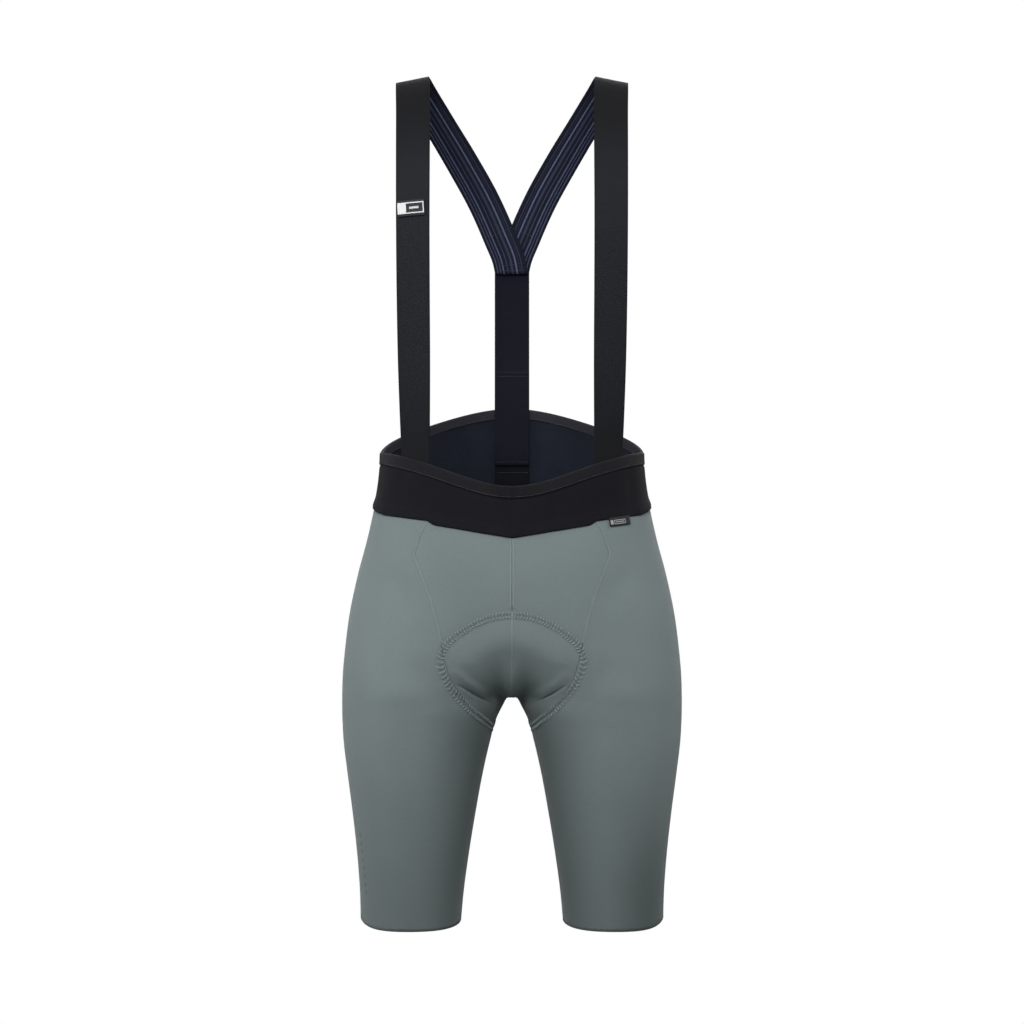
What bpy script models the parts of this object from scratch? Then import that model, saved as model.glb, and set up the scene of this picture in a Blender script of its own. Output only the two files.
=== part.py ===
"""Cycling bib shorts, filled out as worn: four stretch panels, a waistband in two parts with a
folded binding, two shoulder straps that join into one back strap, a seat pad and two labels.

Metres, +Z up, +Y towards the wearer's back, +X to the wearer's left. The origin is between the
two straps where they lie on the shoulders, which is where a wearer holds the garment up.
"""

import math

import bpy
import numpy as np

# Driving dimensions.
CROTCH_DROP = 0.649  # from the top of the shoulders to the crotch
SEAM_GAP = 0.0003  # between neighbouring pieces
CLOTH = 0.0012  # the stretch jersey of the shorts
BAND_CLOTH = 0.0016
BAND_PROUD = 0.0004  # how far the waistband stands out from the jersey
BINDING_CLOTH = 0.0010
BINDING_DEPTH = 0.0108
BINDING_INSIDE = 0.85  # how deep the binding goes inside, as a share of its depth outside
BINDING_TURN, BINDING_TOP = 0.0004, 0.0016  # where its sides turn into its fold, and the fold's top
STRAP_CLOTH = 0.0015
STRAP_WIDTH = 0.0355
BACK_STRAP_WIDTH = 0.0375
PAD_CLOTH = 0.006
PAD_CLEARANCE = 0.0042  # from the outside of the jersey to the pad
LABEL_CLOTH = 0.0010

# The worn form, by height above the crotch. One leg's oval reaches from inner to outer across
# and from front to back in depth; above the crotch, inner goes past the middle and the two
# ovals overlap until they are one trunk.
FORM = np.array([  # height, outer, inner, front, back
    (-0.250, 0.1586, 0.0550, 0.060, 0.063),
    (-0.205, 0.1596, 0.0510, 0.064, 0.068),
    (-0.163, 0.1628, 0.0452, 0.069, 0.074),
    (-0.121, 0.1675, 0.0383, 0.075, 0.081),
    (-0.079, 0.1730, 0.0305, 0.082, 0.089),
    (-0.047, 0.1768, 0.0231, 0.087, 0.095),
    (-0.026, 0.1780, 0.0174, 0.090, 0.099),
    (-0.012, 0.1783, 0.0114, 0.092, 0.101),
    (0.000, 0.1783, 0.0075, 0.094, 0.104),
    (0.020, 0.1778, -0.0060, 0.097, 0.110),
    (0.050, 0.1752, -0.0340, 0.102, 0.119),
    (0.085, 0.1706, -0.0850, 0.106, 0.124),
    (0.125, 0.1622, -0.1622, 0.107, 0.121),
    (0.165, 0.1515, -0.1515, 0.105, 0.112),
    (0.200, 0.1438, -0.1438, 0.102, 0.104),
    (0.230, 0.1392, -0.1392, 0.100, 0.100),
    (0.260, 0.1378, -0.1378, 0.099, 0.098),
    (0.310, 0.1380, -0.1380, 0.099, 0.097),
])
LEG_ROUNDNESS = 2.15  # the power of the leg's oval: 2 is an ellipse, more is squarer
HIP_ROUNDNESS, WAIST_ROUNDNESS = 2.9, 2.4  # the same for the trunk, at the crotch and above
ROUNDNESS_TO = 0.13  # the height at which it has become the waist's
CROTCH_BLEND = 0.030  # how softly the two legs run into each other
TRUNK_FROM, TRUNK_TO = 0.0, 0.095  # heights over which two legs become one trunk

# The seam between front panel and leg panel: how far it is from the middle at each height.
PANEL_SEAM = np.array([  # height, across
    (-0.036, 0.0225),
    (-0.020, 0.0350),
    (0.000, 0.0500),
    (0.020, 0.0620),
    (0.042, 0.0690),
    (0.065, 0.0725),
    (0.104, 0.0830),
    (0.149, 0.1005),
    (0.172, 0.0930),
    (0.192, 0.0800),
])
FRONT_PANEL_END = -0.034  # where that seam meets the inseam
POINT_UP = 0.2  # how far up its last row the front panel's point is left off

# Edges of the waistband, as heights above the crotch.
BAND_LOW_FRONT = np.array([  # across, height
    (0.0000, 0.1670),
    (0.0790, 0.1800),
    (0.0860, 0.1845),
    (0.1200, 0.1887),
    (0.1310, 0.1902),
    (0.1385, 0.1930),
    (0.1443, 0.1975),
])
BAND_LOW_SIDE = 0.1975
RIM_SIDE, RIM_FRONT, RIM_BACK = 0.2525, 0.2166, 0.3020
RIM_FRONT_POWER, RIM_BACK_POWER = 2.8, 1.25  # how sharply the rim dips in front and rises behind

# The hem of a leg, as heights above the crotch: it dips in front and a little behind.
HEM_LEVEL, HEM_RISE_OUTSIDE, HEM_RISE_INSIDE = -0.2402, 0.0080, 0.0030

# The wearer's left strap, from inside the front of the waistband over the shoulder to the back
# strap. tilt turns its width in the front view and yaw turns it round the body, both in
# degrees; bow is how far its middle stands out past its edges, where it follows the waistband.
STRAP_PATH = np.array([  # x, y, z, tilt, yaw, bow
    (0.0988, -0.0716, -0.448, 0.0, 34.0, 0.0016),
    (0.0988, -0.0700, -0.425, 0.0, 34.0, 0.0016),
    (0.0989, -0.0703, -0.400, 0.0, 33.5, 0.0016),
    (0.0994, -0.0760, -0.360, 0.0, 28.0, 0.0008),
    (0.1000, -0.0865, -0.300, 0.0, 20.0, 0.0002),
    (0.1005, -0.0955, -0.230, 0.0, 16.0, 0.0),
    (0.1008, -0.0985, -0.160, 0.0, 14.0, 0.0),
    (0.1010, -0.0900, -0.095, 0.0, 11.0, 0.0),
    (0.1015, -0.0700, -0.045, 2.0, 7.0, 0.0),
    (0.1030, -0.0370, -0.012, 8.0, 3.0, 0.0),
    (0.1037, 0.0000, -0.0055, 14.5, -2.0, 0.0),
    (0.0962, 0.0370, -0.0145, 23.0, -12.0, 0.0),
    (0.0765, 0.0690, -0.0435, 29.5, -16.0, 0.0),
    (0.0530, 0.0880, -0.081, 31.5, -9.0, 0.0),
    (0.0315, 0.0960, -0.119, 31.0, -4.0, 0.0),
    (0.0130, 0.0990, -0.160, 23.0, -1.0, 0.0),
    (0.0035, 0.1000, -0.184, 12.0, 0.0, 0.0),
    (0.0005, 0.1004, -0.199, 0.0, 0.0, 0.0),
])
CROSSING = 0.0010  # how far each strap stands from their middle plane where they cross
CROSSING_FROM, CROSSING_TO = -0.09, -0.14  # heights over which they part to pass each other

# The back strap, in three stretches, by height.
BACK_STRAP = np.array([  # z, y
    (-0.190, 0.1026),
    (-0.230, 0.1030),
    (-0.280, 0.1008),
    (-0.315, 0.0970),
    (-0.340, 0.0946),
    (-0.350, 0.0940),
    (-0.370, 0.0939),
    (-0.400, 0.0947),
    (-0.420, 0.0961),
    (-0.440, 0.0988),
    (-0.455, 0.1008),
])
BACK_STRETCHES = {  # its top, its bottom, its layer from the body out, its rows
    "upper": (-0.1905, -0.312, 1, 8),
    "lower": (-0.304, -0.407, 0, 8),
    "tail": (-0.400, -0.450, 1, 4),
}
STRAP_LAYER = 0.0020  # from one strap to the next one laid on it

# The seat pad, by distance along the middle seam from the crotch: negative in front.
PAD_OUTLINE = np.array([  # along, half width
    (-0.162, 0.016),
    (-0.157, 0.034),
    (-0.146, 0.052),
    (-0.128, 0.069),
    (-0.108, 0.073),
    (-0.085, 0.066),
    (-0.055, 0.051),
    (-0.015, 0.044),
    (0.030, 0.048),
    (0.070, 0.064),
    (0.110, 0.080),
    (0.145, 0.083),
    (0.172, 0.068),
    (0.187, 0.044),
    (0.193, 0.020),
])

# The woven label on the wearer's right strap, and the tab under the waistband's left side.
LABEL_WIDTH, LABEL_HEIGHT, LABEL_MIDDLE, LABEL_TILT = 0.0285, 0.0165, -0.1485, -4.0
TAB_FROM, TAB_TO, TAB_HEIGHT = 0.0965, 0.1175, 0.0085

# How finely the cloth is divided. A crowding over 1 brings rows or columns closer at their start.
TRUNK_ROWS, LEG_ROWS, ROW_CROWDING = 11, 9, 1.4
FRONT_COLUMNS, LEG_COLUMNS, FRONT_CROWDING = 7, 24, 1.15
BAND_ROWS = 3
STRAP_ROWS = 40
PAD_ROWS, PAD_HALF_COLUMNS, PAD_CROWDING = 24, 6, 1.4
PAD_SEAM_FRONT, PAD_SEAM_BACK = 0.16, 0.18  # heights up to which the middle seam takes in the pad
WALK_STEPS = 6  # from one column of the pad to the next
LOOKUP_SAMPLES = 400  # along a path, to find a place on it


def smooth_column(table, x, column):
    """A column of a table at x, on the smooth curve through its rows."""
    key, value = table[:, 0], table[:, column]
    if key[0] > key[-1]:
        key, value = key[::-1], value[::-1]
    slope = np.gradient(value, key)
    x = np.clip(x, key[0], key[-1])
    i = np.clip(np.searchsorted(key, x) - 1, 0, len(key) - 2)
    step = key[i + 1] - key[i]
    t = (x - key[i]) / step
    return (
        value[i] * (1 + 2 * t) * (1 - t) ** 2
        + value[i + 1] * t**2 * (3 - 2 * t)
        + step * slope[i] * t * (1 - t) ** 2
        - step * slope[i + 1] * t**2 * (1 - t)
    )


def smoothstep(x, start, end):
    t = np.clip((x - start) / (end - start), 0, 1)
    return t * t * (3 - 2 * t)


def oval(x, y, half_width, half_depth, roundness):
    """About how far a point is outside an oval round the origin, less than 0 inside it."""
    across, along = np.abs(x / half_width), np.abs(y / half_depth)
    return ((across**roundness + along**roundness) ** (1 / roundness) - 1) * half_width


def form_at(height):
    """outer, inner, front, back, and the middle of the depth, at a height above the crotch."""
    outer, inner, front, back = (smooth_column(FORM, height, k) for k in range(1, 5))
    return outer, inner, front, back, (back - front) / 2


def form_field(x, y, height):
    """About how far a point is outside the worn form: two ovals that melt into one."""
    outer, inner, front, back, mid = form_at(height)
    middle, half = (outer + inner) / 2, (outer - inner) / 2
    depth = (front + back) / 2
    left = oval(x - middle, y - mid, half, depth, LEG_ROUNDNESS)
    right = oval(x + middle, y - mid, half, depth, LEG_ROUNDNESS)
    near = np.maximum(CROTCH_BLEND - np.abs(left - right), 0) / CROTCH_BLEND
    legs = np.minimum(left, right) - near**2 * CROTCH_BLEND / 4
    roundness = HIP_ROUNDNESS + (WAIST_ROUNDNESS - HIP_ROUNDNESS) * smoothstep(height, 0, ROUNDNESS_TO)
    trunk = oval(x, y - mid, outer, depth, roundness)
    share = smoothstep(height, TRUNK_FROM, TRUNK_TO)
    return legs * (1 - share) + trunk * share


def reach(x, y, angle, height, furthest=0.35, halvings=44):
    """How far the form's surface is from a point inside it, in the direction of angle. From a
    point off the middle it goes no further than the middle, so that it stays in its own leg."""
    ahead, aside = np.cos(angle), np.sin(angle)
    middle_way = np.where((x > 0) & (ahead < 0), -x / np.minimum(ahead, -1e-9), furthest)
    near, far = np.zeros_like(angle), np.minimum(middle_way, furthest)
    for _ in range(halvings):
        middle = (near + far) / 2
        inside = form_field(x + middle * ahead, y + middle * aside, height) < 0
        near, far = np.where(inside, middle, near), np.where(inside, far, middle)
    return (near + far) / 2


def form_normal(points, step=1e-4):
    """The outward direction of the form at points on its surface."""
    x, y, height = points[..., 0], points[..., 1], points[..., 2] + CROTCH_DROP
    slope = np.stack([
        form_field(x + step, y, height) - form_field(x - step, y, height),
        form_field(x, y + step, height) - form_field(x, y - step, height),
        form_field(x, y, height + step) - form_field(x, y, height - step),
    ], axis=-1)
    return slope / np.linalg.norm(slope, axis=-1, keepdims=True)


def trunk_point(angle, height):
    """A point of the trunk above the hips, from its direction round the middle and its height."""
    mid = form_at(height)[4]
    radius = reach(np.zeros_like(angle), mid, angle, height)
    return np.stack([radius * np.cos(angle), mid + radius * np.sin(angle), height - CROTCH_DROP], axis=-1)


def band_low(angle):
    """The height of the waistband's lower edge: a shallow V in front, with a step at the seams."""
    height = np.full_like(angle, BAND_LOW_SIDE)
    for _ in range(4):
        across = np.abs(trunk_point(angle, height)[..., 0])
        front = np.interp(across, BAND_LOW_FRONT[:, 0], BAND_LOW_FRONT[:, 1])
        height = np.where(np.sin(angle) < 0, front, BAND_LOW_SIDE)
    return height


def rim(angle):
    """The height of the waistband's upper edge."""
    facing = np.abs(np.sin(angle))
    front = RIM_SIDE + (RIM_FRONT - RIM_SIDE) * facing**RIM_FRONT_POWER
    back = RIM_SIDE + (RIM_BACK - RIM_SIDE) * facing**RIM_BACK_POWER
    return np.where(np.sin(angle) < 0, front, back)


def hem(angle):
    """The height of a leg's hem, from the direction round the leg: level in front and behind,
    with a soft rise at each side."""
    rise = np.where(np.cos(angle) > 0, HEM_RISE_OUTSIDE, HEM_RISE_INSIDE)
    return HEM_LEVEL + rise * np.cos(angle) ** 4


def middle_seam(side, top, samples=500):
    """The middle seam from the crotch up to a height: distance along it, y and height."""
    height = top * np.linspace(0, 1, samples) ** 2
    mid = form_at(height)[4]
    ahead = np.full(samples, side * math.pi / 2)
    y = mid + side * reach(np.zeros(samples), mid, ahead, height)
    y[0] = mid[0]
    along = np.concatenate([[0], np.cumsum(np.hypot(np.diff(y), np.diff(height)))])
    return along, y, height


def rows_of_half():
    """The rows of one half of the shorts from hem to waist, each as its share of the leg below
    the crotch or, less than 0, of the trunk above it. They crowd together at the crotch."""
    leg = np.linspace(1, 0, LEG_ROWS + 1) ** ROW_CROWDING
    trunk = -np.linspace(0, 1, TRUNK_ROWS + 1)[1:] ** ROW_CROWDING
    return np.concatenate([leg, trunk])


def seam_turns(height):
    """The middle of a leg at each height, and the directions from it to the front and the back
    middle seam. Below the crotch both point straight across to the inseam."""
    outer, inner, _, _, mid = form_at(height)
    middle = np.maximum((outer + inner) / 2, 0)
    turns = []
    for side in (-1, 1):
        ahead = np.full_like(height, side * math.pi / 2)
        depth = np.where(height > 0, reach(np.zeros_like(height), mid, ahead, height), 0)
        turns.append(np.arctan2(side * depth, -middle))
    return middle, mid, turns


def half_points(rows, across):
    """Points of the wearer's left half. rows has one value for each row; across has a row of
    values from 0 at the inseam or front seam, round the outside, to 1 at the back."""
    shares = rows[:, None] + 0 * across
    up = np.clip(-shares, 0, 1)
    # The heights at which each row meets the front and the back middle seam.
    ends = []
    for side, top in ((-1, band_low(np.array([-math.pi / 2]))[0]), (1, BAND_LOW_SIDE)):
        along, _, height = middle_seam(side, top)
        ends.append(np.interp(up * along[-1], along, height))
    to_seam = np.cos(math.pi * across) ** 2
    end = np.where(across < 0.5, *ends)
    height = BAND_LOW_SIDE * up * (1 - to_seam) + end * to_seam
    turns = seam_turns(height)[2]
    angle = turns[0] + (turns[1] - turns[0]) * across
    # Near the top the rows bend to follow the waistband's lower edge.
    seam_top = np.where(across < 0.5, ends[0], BAND_LOW_SIDE)
    waist = seam_top * to_seam + BAND_LOW_SIDE * (1 - to_seam)
    height = height + (band_low(angle) - waist) * up**4
    height = np.where(shares > 0, shares * hem(angle), height)
    middle, mid, turns = seam_turns(height)
    angle = turns[0] + (turns[1] - turns[0]) * across
    radius = reach(middle, mid, angle, height)
    x = np.maximum(middle + radius * np.cos(angle), 0)
    return np.stack([x, mid + radius * np.sin(angle), height - CROTCH_DROP], axis=-1)


def panel_seam(rows, samples=241):
    """Where the seam between front and leg panel lies across each row of a half."""
    across = np.linspace(0, 0.5, samples)
    points = half_points(rows, np.tile(across, (len(rows), 1)))
    wanted = np.interp(points[..., 2] + CROTCH_DROP, PANEL_SEAM[:, 0], PANEL_SEAM[:, 1])
    past = points[..., 0] - wanted
    return np.array([np.interp(0, row, across) for row in past])


def fabric(name, colour, roughness):
    made = bpy.data.materials.new(name)
    made.use_nodes = True
    shader = made.node_tree.nodes["Principled BSDF"]
    shader.inputs["Base Color"].default_value = (*colour, 1)
    shader.inputs["Roughness"].default_value = roughness
    shader.inputs["Metallic"].default_value = 0
    return made


def mirrored(points):
    """The same piece on the wearer's right, with its faces still outwards."""
    return points[:, ::-1] * np.array([-1.0, 1.0, 1.0])


def drawn_in(points, sides):
    """Points with the named edges drawn in by half a seam gap, towards their neighbours."""
    moved = points.copy()
    edges = {"left": (0, 1), "right": (-1, -2), "bottom": (0, 1), "top": (-1, -2)}
    for side in sides:
        edge, inner = edges[side]
        line = (slice(None), edge) if side in ("left", "right") else (edge,)
        next_line = (slice(None), inner) if side in ("left", "right") else (inner,)
        way = moved[next_line] - moved[line]
        length = np.linalg.norm(way, axis=-1, keepdims=True)
        moved[line] += way / np.maximum(length, 1e-9) * SEAM_GAP / 2
    return moved


def grid_normal(points, ring=False):
    """The outward direction at each point of a grid, from the points beside it."""
    up = np.gradient(points, axis=0)
    if ring:
        along = np.roll(points, -1, axis=1) - np.roll(points, 1, axis=1)
    else:
        along = np.gradient(points, axis=1)
    normal = np.cross(along, up)
    return normal / np.linalg.norm(normal, axis=-1, keepdims=True)


def cloth(name, outer, inner, material, ring=False):
    """A closed wall between two grids of points. With ring, the last column joins the first.
    Rows go up and columns to the left of the wearer, as seen from the front."""
    rows, columns = outer.shape[:2]
    count = rows * columns
    corner = outer.reshape(-1, 3)
    faces = []
    for r in range(rows - 1):
        for c in range(columns if ring else columns - 1):
            a, b = r * columns + c, r * columns + (c + 1) % columns
            d, e = a + columns, b + columns
            # Both sides are cut along the shorter diagonal, so the wall stays even.
            if np.linalg.norm(corner[a] - corner[e]) < np.linalg.norm(corner[b] - corner[d]):
                halves = (a, b, e), (a, e, d)
            else:
                halves = (a, b, d), (b, e, d)
            faces += halves
            faces += [tuple(count + i for i in half[::-1]) for half in halves]
    for c in range(columns if ring else columns - 1):
        low, low_next = c, (c + 1) % columns
        top, top_next = low + (rows - 1) * columns, low_next + (rows - 1) * columns
        faces.append((low + count, low_next + count, low_next, low))
        faces.append((top, top_next, top_next + count, top + count))
    if not ring:
        for r in range(rows - 1):
            low, top = r * columns, (r + 1) * columns
            faces.append((low, top, top + count, low + count))
            low, top = low + columns - 1, top + columns - 1
            faces.append((low + count, top + count, top, low))
    mesh = bpy.data.meshes.new(name)
    mesh.from_pydata(np.concatenate([outer, inner]).reshape(-1, 3).tolist(), [], faces)
    mesh.materials.append(material)
    mesh.shade_smooth()
    piece = bpy.data.objects.new(name, mesh)
    garment.objects.link(piece)
    return piece


def panels():
    """Points of the wearer's left leg panel and front panel, up to the waistband."""
    rows = rows_of_half()
    seam = panel_seam(rows)
    leg_only = rows * -HEM_LEVEL > -FRONT_PANEL_END
    start = np.where(leg_only, 0, seam)[:, None]
    leg = half_points(rows, start + (1 - start) * np.linspace(0, 1, LEG_COLUMNS + 1))
    # The front panel's lowest row is narrow, a little above where the leg panel closes up.
    last = np.flatnonzero(leg_only)[-1]
    lowest = rows[last] + (rows[last + 1] - rows[last]) * POINT_UP
    front_rows = np.append(lowest, rows[~leg_only])
    front_end = np.append(seam[last + 1] * POINT_UP, seam[~leg_only])[:, None]
    front = half_points(front_rows, front_end * np.linspace(0, 1, FRONT_COLUMNS + 1) ** FRONT_CROWDING)
    return leg, front


def inward(points, distance):
    """Points moved into the form, kept on their own side of the middle."""
    moved = points - form_normal(points) * distance
    moved[..., 0] = np.maximum(moved[..., 0], SEAM_GAP / 2)
    return moved


def shorts(jersey):
    """The four jersey panels: a front panel and a leg panel on each side."""
    leg, front = panels()
    leg = drawn_in(leg, ("left", "right", "top"))
    # Drawn in twice where the seam slants across the rows.
    front = drawn_in(front, ("left", "right", "right", "top", "bottom"))
    for points in (leg, front):
        points[..., 0] = np.maximum(points[..., 0], SEAM_GAP / 2)
    for side, turned in (("left", lambda points: points), ("right", mirrored)):
        for kind, points in (("leg", leg), ("front", front)):
            outer, inner = turned(points), turned(inward(points, CLOTH))
            cloth(f"{kind}_panel_{side}", outer, inner, jersey)


def band_angles():
    """Directions round the waist at which the panels' upper edges have points, from the back
    seam round the wearer's right, the front and the left, with one at each side seam."""
    leg, front = panels()
    top = np.concatenate([front[-1, :-1], leg[-1]])
    mid = form_at(top[:, 2] + CROTCH_DROP)[4]
    left = np.sort(np.append(np.arctan2(top[:, 1] - mid, top[:, 0]), 0.0))
    left[0], left[-1] = -math.pi / 2, math.pi / 2
    right = -math.pi - left[::-1]
    return np.concatenate([right[:-1], left])


def waistband(knit):
    """The front part with its V and the high back part, which meet at the sides."""
    angles = band_angles()
    front = (angles > -math.pi - 1e-9) & (angles < 1e-9)
    left_behind, right_behind = angles[angles > -1e-9], angles[angles < -math.pi + 1e-9]
    behind = np.concatenate([left_behind, right_behind[1:] + 2 * math.pi])
    share = np.linspace(0, 1, BAND_ROWS + 1)[:, None]
    for side, angle in (("front", angles[front][None, :]), ("back", behind[None, :])):
        low = band_low(angle) + SEAM_GAP / 2
        points = trunk_point(angle + 0 * share, low + (rim(angle) - low) * share)
        normal = form_normal(points)
        points = drawn_in(points + normal * BAND_PROUD, ("left", "right", "bottom"))
        cloth(f"waistband_{side}", points, points - normal * BAND_CLOTH, knit)


def binding(knit):
    """The folded strip over the waistband's upper edge, all the way round."""
    leaf = BINDING_CLOTH / 2 + SEAM_GAP
    outside, inside = BAND_PROUD + leaf, BAND_PROUD - BAND_CLOTH - leaf
    fold = (
        (-BINDING_DEPTH, outside),
        (BINDING_TURN, outside),
        (BINDING_TOP, (outside + inside) / 2),
        (BINDING_TURN, inside),
        (-BINDING_DEPTH * BINDING_INSIDE, inside),
    )
    angle = band_angles()[None, :-1]
    rows = []
    for rise, out in fold:
        points = trunk_point(angle, rim(angle) + rise)
        rows.append(points + form_normal(points) * out)
    middle = np.concatenate(rows)
    half = grid_normal(middle, ring=True) * BINDING_CLOTH / 2
    cloth("waist_binding", middle + half, middle - half, knit, ring=True)


def strap_at(along):
    """Middle points, width directions, bow and parting of the wearer's left strap at
    distances along its path."""
    chords = np.linalg.norm(np.diff(STRAP_PATH[:, :3], axis=0), axis=1)
    keyed = np.column_stack([np.concatenate([[0], np.cumsum(chords)]), STRAP_PATH])
    along = np.asarray(along) * keyed[-1, 0]
    x, y, z, tilt, yaw, bow = (smooth_column(keyed, along, k) for k in range(1, 7))
    tilt, yaw = np.radians(tilt), np.radians(yaw)
    width = np.stack([np.cos(tilt) * np.cos(yaw), np.sin(yaw), -np.sin(tilt)], axis=-1)
    width /= np.linalg.norm(width, axis=-1, keepdims=True)
    parting = CROSSING * smoothstep(z, CROSSING_FROM, CROSSING_TO) * (y > 0)
    return np.stack([x, y, z], axis=-1), width, bow, parting


def ribbon(name, middles, widths, width, material, side=1, bow=None):
    """A strap with three points across each row, from its inner to its outer edge."""
    across = np.array([-0.5, 0.0, 0.5])[None, :, None] * width
    points = middles[:, None, :] + widths[:, None, :] * across
    normal = grid_normal(points)
    if bow is not None:
        points[:, 1] += normal[:, 1] * bow[:, None]
    half = normal * STRAP_CLOTH / 2
    outer, inner = points + half, points - half
    if side < 0:
        outer, inner = mirrored(outer), mirrored(inner)
    cloth(name, outer, inner, material)


def shoulder_straps(webbing):
    middles, widths, bow, parting = strap_at(np.linspace(0, 1, STRAP_ROWS))
    for side, way in (("left", 1), ("right", -1)):
        placed = middles + np.array([0.0, 1.0, 0.0]) * parting[:, None] * way
        ribbon(f"strap_{side}", placed, widths, STRAP_WIDTH, webbing, way, bow)


def back_strap(webbing):
    """The upper stretch, the lower one laid over its end, and the tail down the back panel."""
    for name, (top, bottom, layer, count) in BACK_STRETCHES.items():
        z = np.linspace(bottom, top, count)
        y = smooth_column(BACK_STRAP, z, 1) + (layer - 0.5) * STRAP_LAYER
        middles = np.stack([0 * z, y, z], axis=-1)
        widths = np.tile(np.array([-1.0, 0.0, 0.0]), (count, 1))
        ribbon(f"back_strap_{name}", middles, widths, BACK_STRAP_WIDTH, webbing)


def on_form(points, turns=2, ease=0.8):
    """Points moved on to the surface of the form along its slope, a good part of the way each turn."""
    for _ in range(turns):
        away = form_field(points[..., 0], points[..., 1], points[..., 2] + CROTCH_DROP)
        points = points - form_normal(points) * away[..., None] * ease
    return points


def pad(foam):
    """The seat pad inside the crotch. Each row starts on the middle seam and walks outwards
    over the form in steps, so that its width is measured along the cloth."""
    front = middle_seam(-1, PAD_SEAM_FRONT)
    back = middle_seam(1, PAD_SEAM_BACK)
    along = np.concatenate([-front[0][:0:-1], back[0]])
    seam_y = np.concatenate([front[1][:0:-1], back[1]])
    seam_z = np.concatenate([front[2][:0:-1], back[2]]) - CROTCH_DROP
    at = np.linspace(PAD_OUTLINE[0, 0], PAD_OUTLINE[-1, 0], PAD_ROWS)
    half_width = smooth_column(PAD_OUTLINE, at, 1)
    start = np.stack([0 * at, np.interp(at, along, seam_y), np.interp(at, along, seam_z)], axis=-1)
    shares = np.linspace(0, 1, PAD_HALF_COLUMNS + 1) ** PAD_CROWDING
    half = [start]
    way = np.tile(np.array([1.0, 0.0, 0.0]), (len(at), 1))
    for step in np.diff(shares):
        walked = half[-1]
        for _ in range(WALK_STEPS):
            normal = form_normal(walked)
            way = way - normal * (way * normal).sum(-1, keepdims=True)
            way /= np.linalg.norm(way, axis=-1, keepdims=True)
            walked = on_form(walked + way * (half_width * step / WALK_STEPS)[:, None])
        half.append(walked)
    left = np.stack(half, axis=1)
    right = left[:, :0:-1] * np.array([-1.0, 1.0, 1.0])
    points = np.concatenate([right, left], axis=1)
    normal = form_normal(points)
    outer = points - normal * PAD_CLEARANCE
    # Turned so that its rows run up the front, as the panels' do.
    cloth("seat_pad", outer[::-1], (outer - normal * PAD_CLOTH)[::-1], foam)


def strap_label(woven):
    """The label on the front of the wearer's right strap."""
    fine = np.linspace(0, 0.5, LOOKUP_SAMPLES)
    at = np.interp(LABEL_MIDDLE, strap_at(fine)[0][:, 2], fine)
    middle, width = (value[0] for value in strap_at(np.array([at]))[:2])
    ahead = strap_at(np.array([at + 0.002]))[0][0] - middle
    up = ahead - width * (ahead @ width)
    up /= np.linalg.norm(up)
    lean = math.radians(LABEL_TILT)
    width, up = (
        width * math.cos(lean) + up * math.sin(lean),
        up * math.cos(lean) - width * math.sin(lean),
    )
    out = np.cross(width, up)
    rows = np.linspace(-0.5, 0.5, 3)
    grid = middle + width * rows[None, :, None] * LABEL_WIDTH + up * rows[:, None, None] * LABEL_HEIGHT
    near = grid + out * (STRAP_CLOTH / 2 + SEAM_GAP)
    cloth("strap_label", mirrored(near + out * LABEL_CLOTH), mirrored(near), woven)


def waist_tab(woven):
    """The tab that hangs from the seam under the front of the waistband."""
    across = np.linspace(TAB_FROM, TAB_TO, 4)
    turn = np.linspace(-math.pi / 2, 0, LOOKUP_SAMPLES)
    side_x = trunk_point(turn, np.full_like(turn, BAND_LOW_SIDE))[..., 0]
    angle = np.interp(across, side_x, turn)[None, :]
    height = band_low(angle) - SEAM_GAP - TAB_HEIGHT * np.array([[1.0], [0.5], [0.0]])
    points = trunk_point(angle + 0 * height, height)
    normal = form_normal(points)
    near = points + normal * 2 * SEAM_GAP
    cloth("waist_tab", near + normal * LABEL_CLOTH, near, woven)


for leftover in list(bpy.data.objects):
    bpy.data.objects.remove(leftover)
garment = bpy.data.collections.new("cycling_bib_shorts")
bpy.context.scene.collection.children.link(garment)

jersey = fabric("sage_jersey", (0.19, 0.24, 0.24), 0.6)
black_knit = fabric("black_knit", (0.018, 0.018, 0.022), 0.75)
navy_webbing = fabric("navy_webbing", (0.012, 0.015, 0.025), 0.7)
foam = fabric("pad_foam", (0.05, 0.05, 0.055), 0.8)
woven = fabric("woven_label", (0.10, 0.10, 0.11), 0.6)

shorts(jersey)
waistband(black_knit)
binding(black_knit)
shoulder_straps(black_knit)
back_strap(navy_webbing)
pad(foam)
strap_label(woven)
waist_tab(woven)
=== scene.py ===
import math

import bpy
import numpy as np
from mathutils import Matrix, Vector


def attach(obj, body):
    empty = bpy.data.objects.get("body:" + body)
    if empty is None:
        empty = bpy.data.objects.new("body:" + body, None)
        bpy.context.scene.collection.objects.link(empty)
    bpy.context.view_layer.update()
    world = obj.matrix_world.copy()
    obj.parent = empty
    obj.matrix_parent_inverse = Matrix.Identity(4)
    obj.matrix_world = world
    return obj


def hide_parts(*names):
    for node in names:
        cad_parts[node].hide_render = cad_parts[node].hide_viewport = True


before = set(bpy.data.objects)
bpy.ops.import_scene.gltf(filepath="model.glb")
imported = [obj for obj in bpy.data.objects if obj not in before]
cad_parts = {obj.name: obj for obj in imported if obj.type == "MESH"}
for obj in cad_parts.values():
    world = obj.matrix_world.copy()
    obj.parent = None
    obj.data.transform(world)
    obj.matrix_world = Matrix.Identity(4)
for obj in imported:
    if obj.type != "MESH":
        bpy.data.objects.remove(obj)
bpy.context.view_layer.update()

scene = bpy.context.scene

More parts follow.
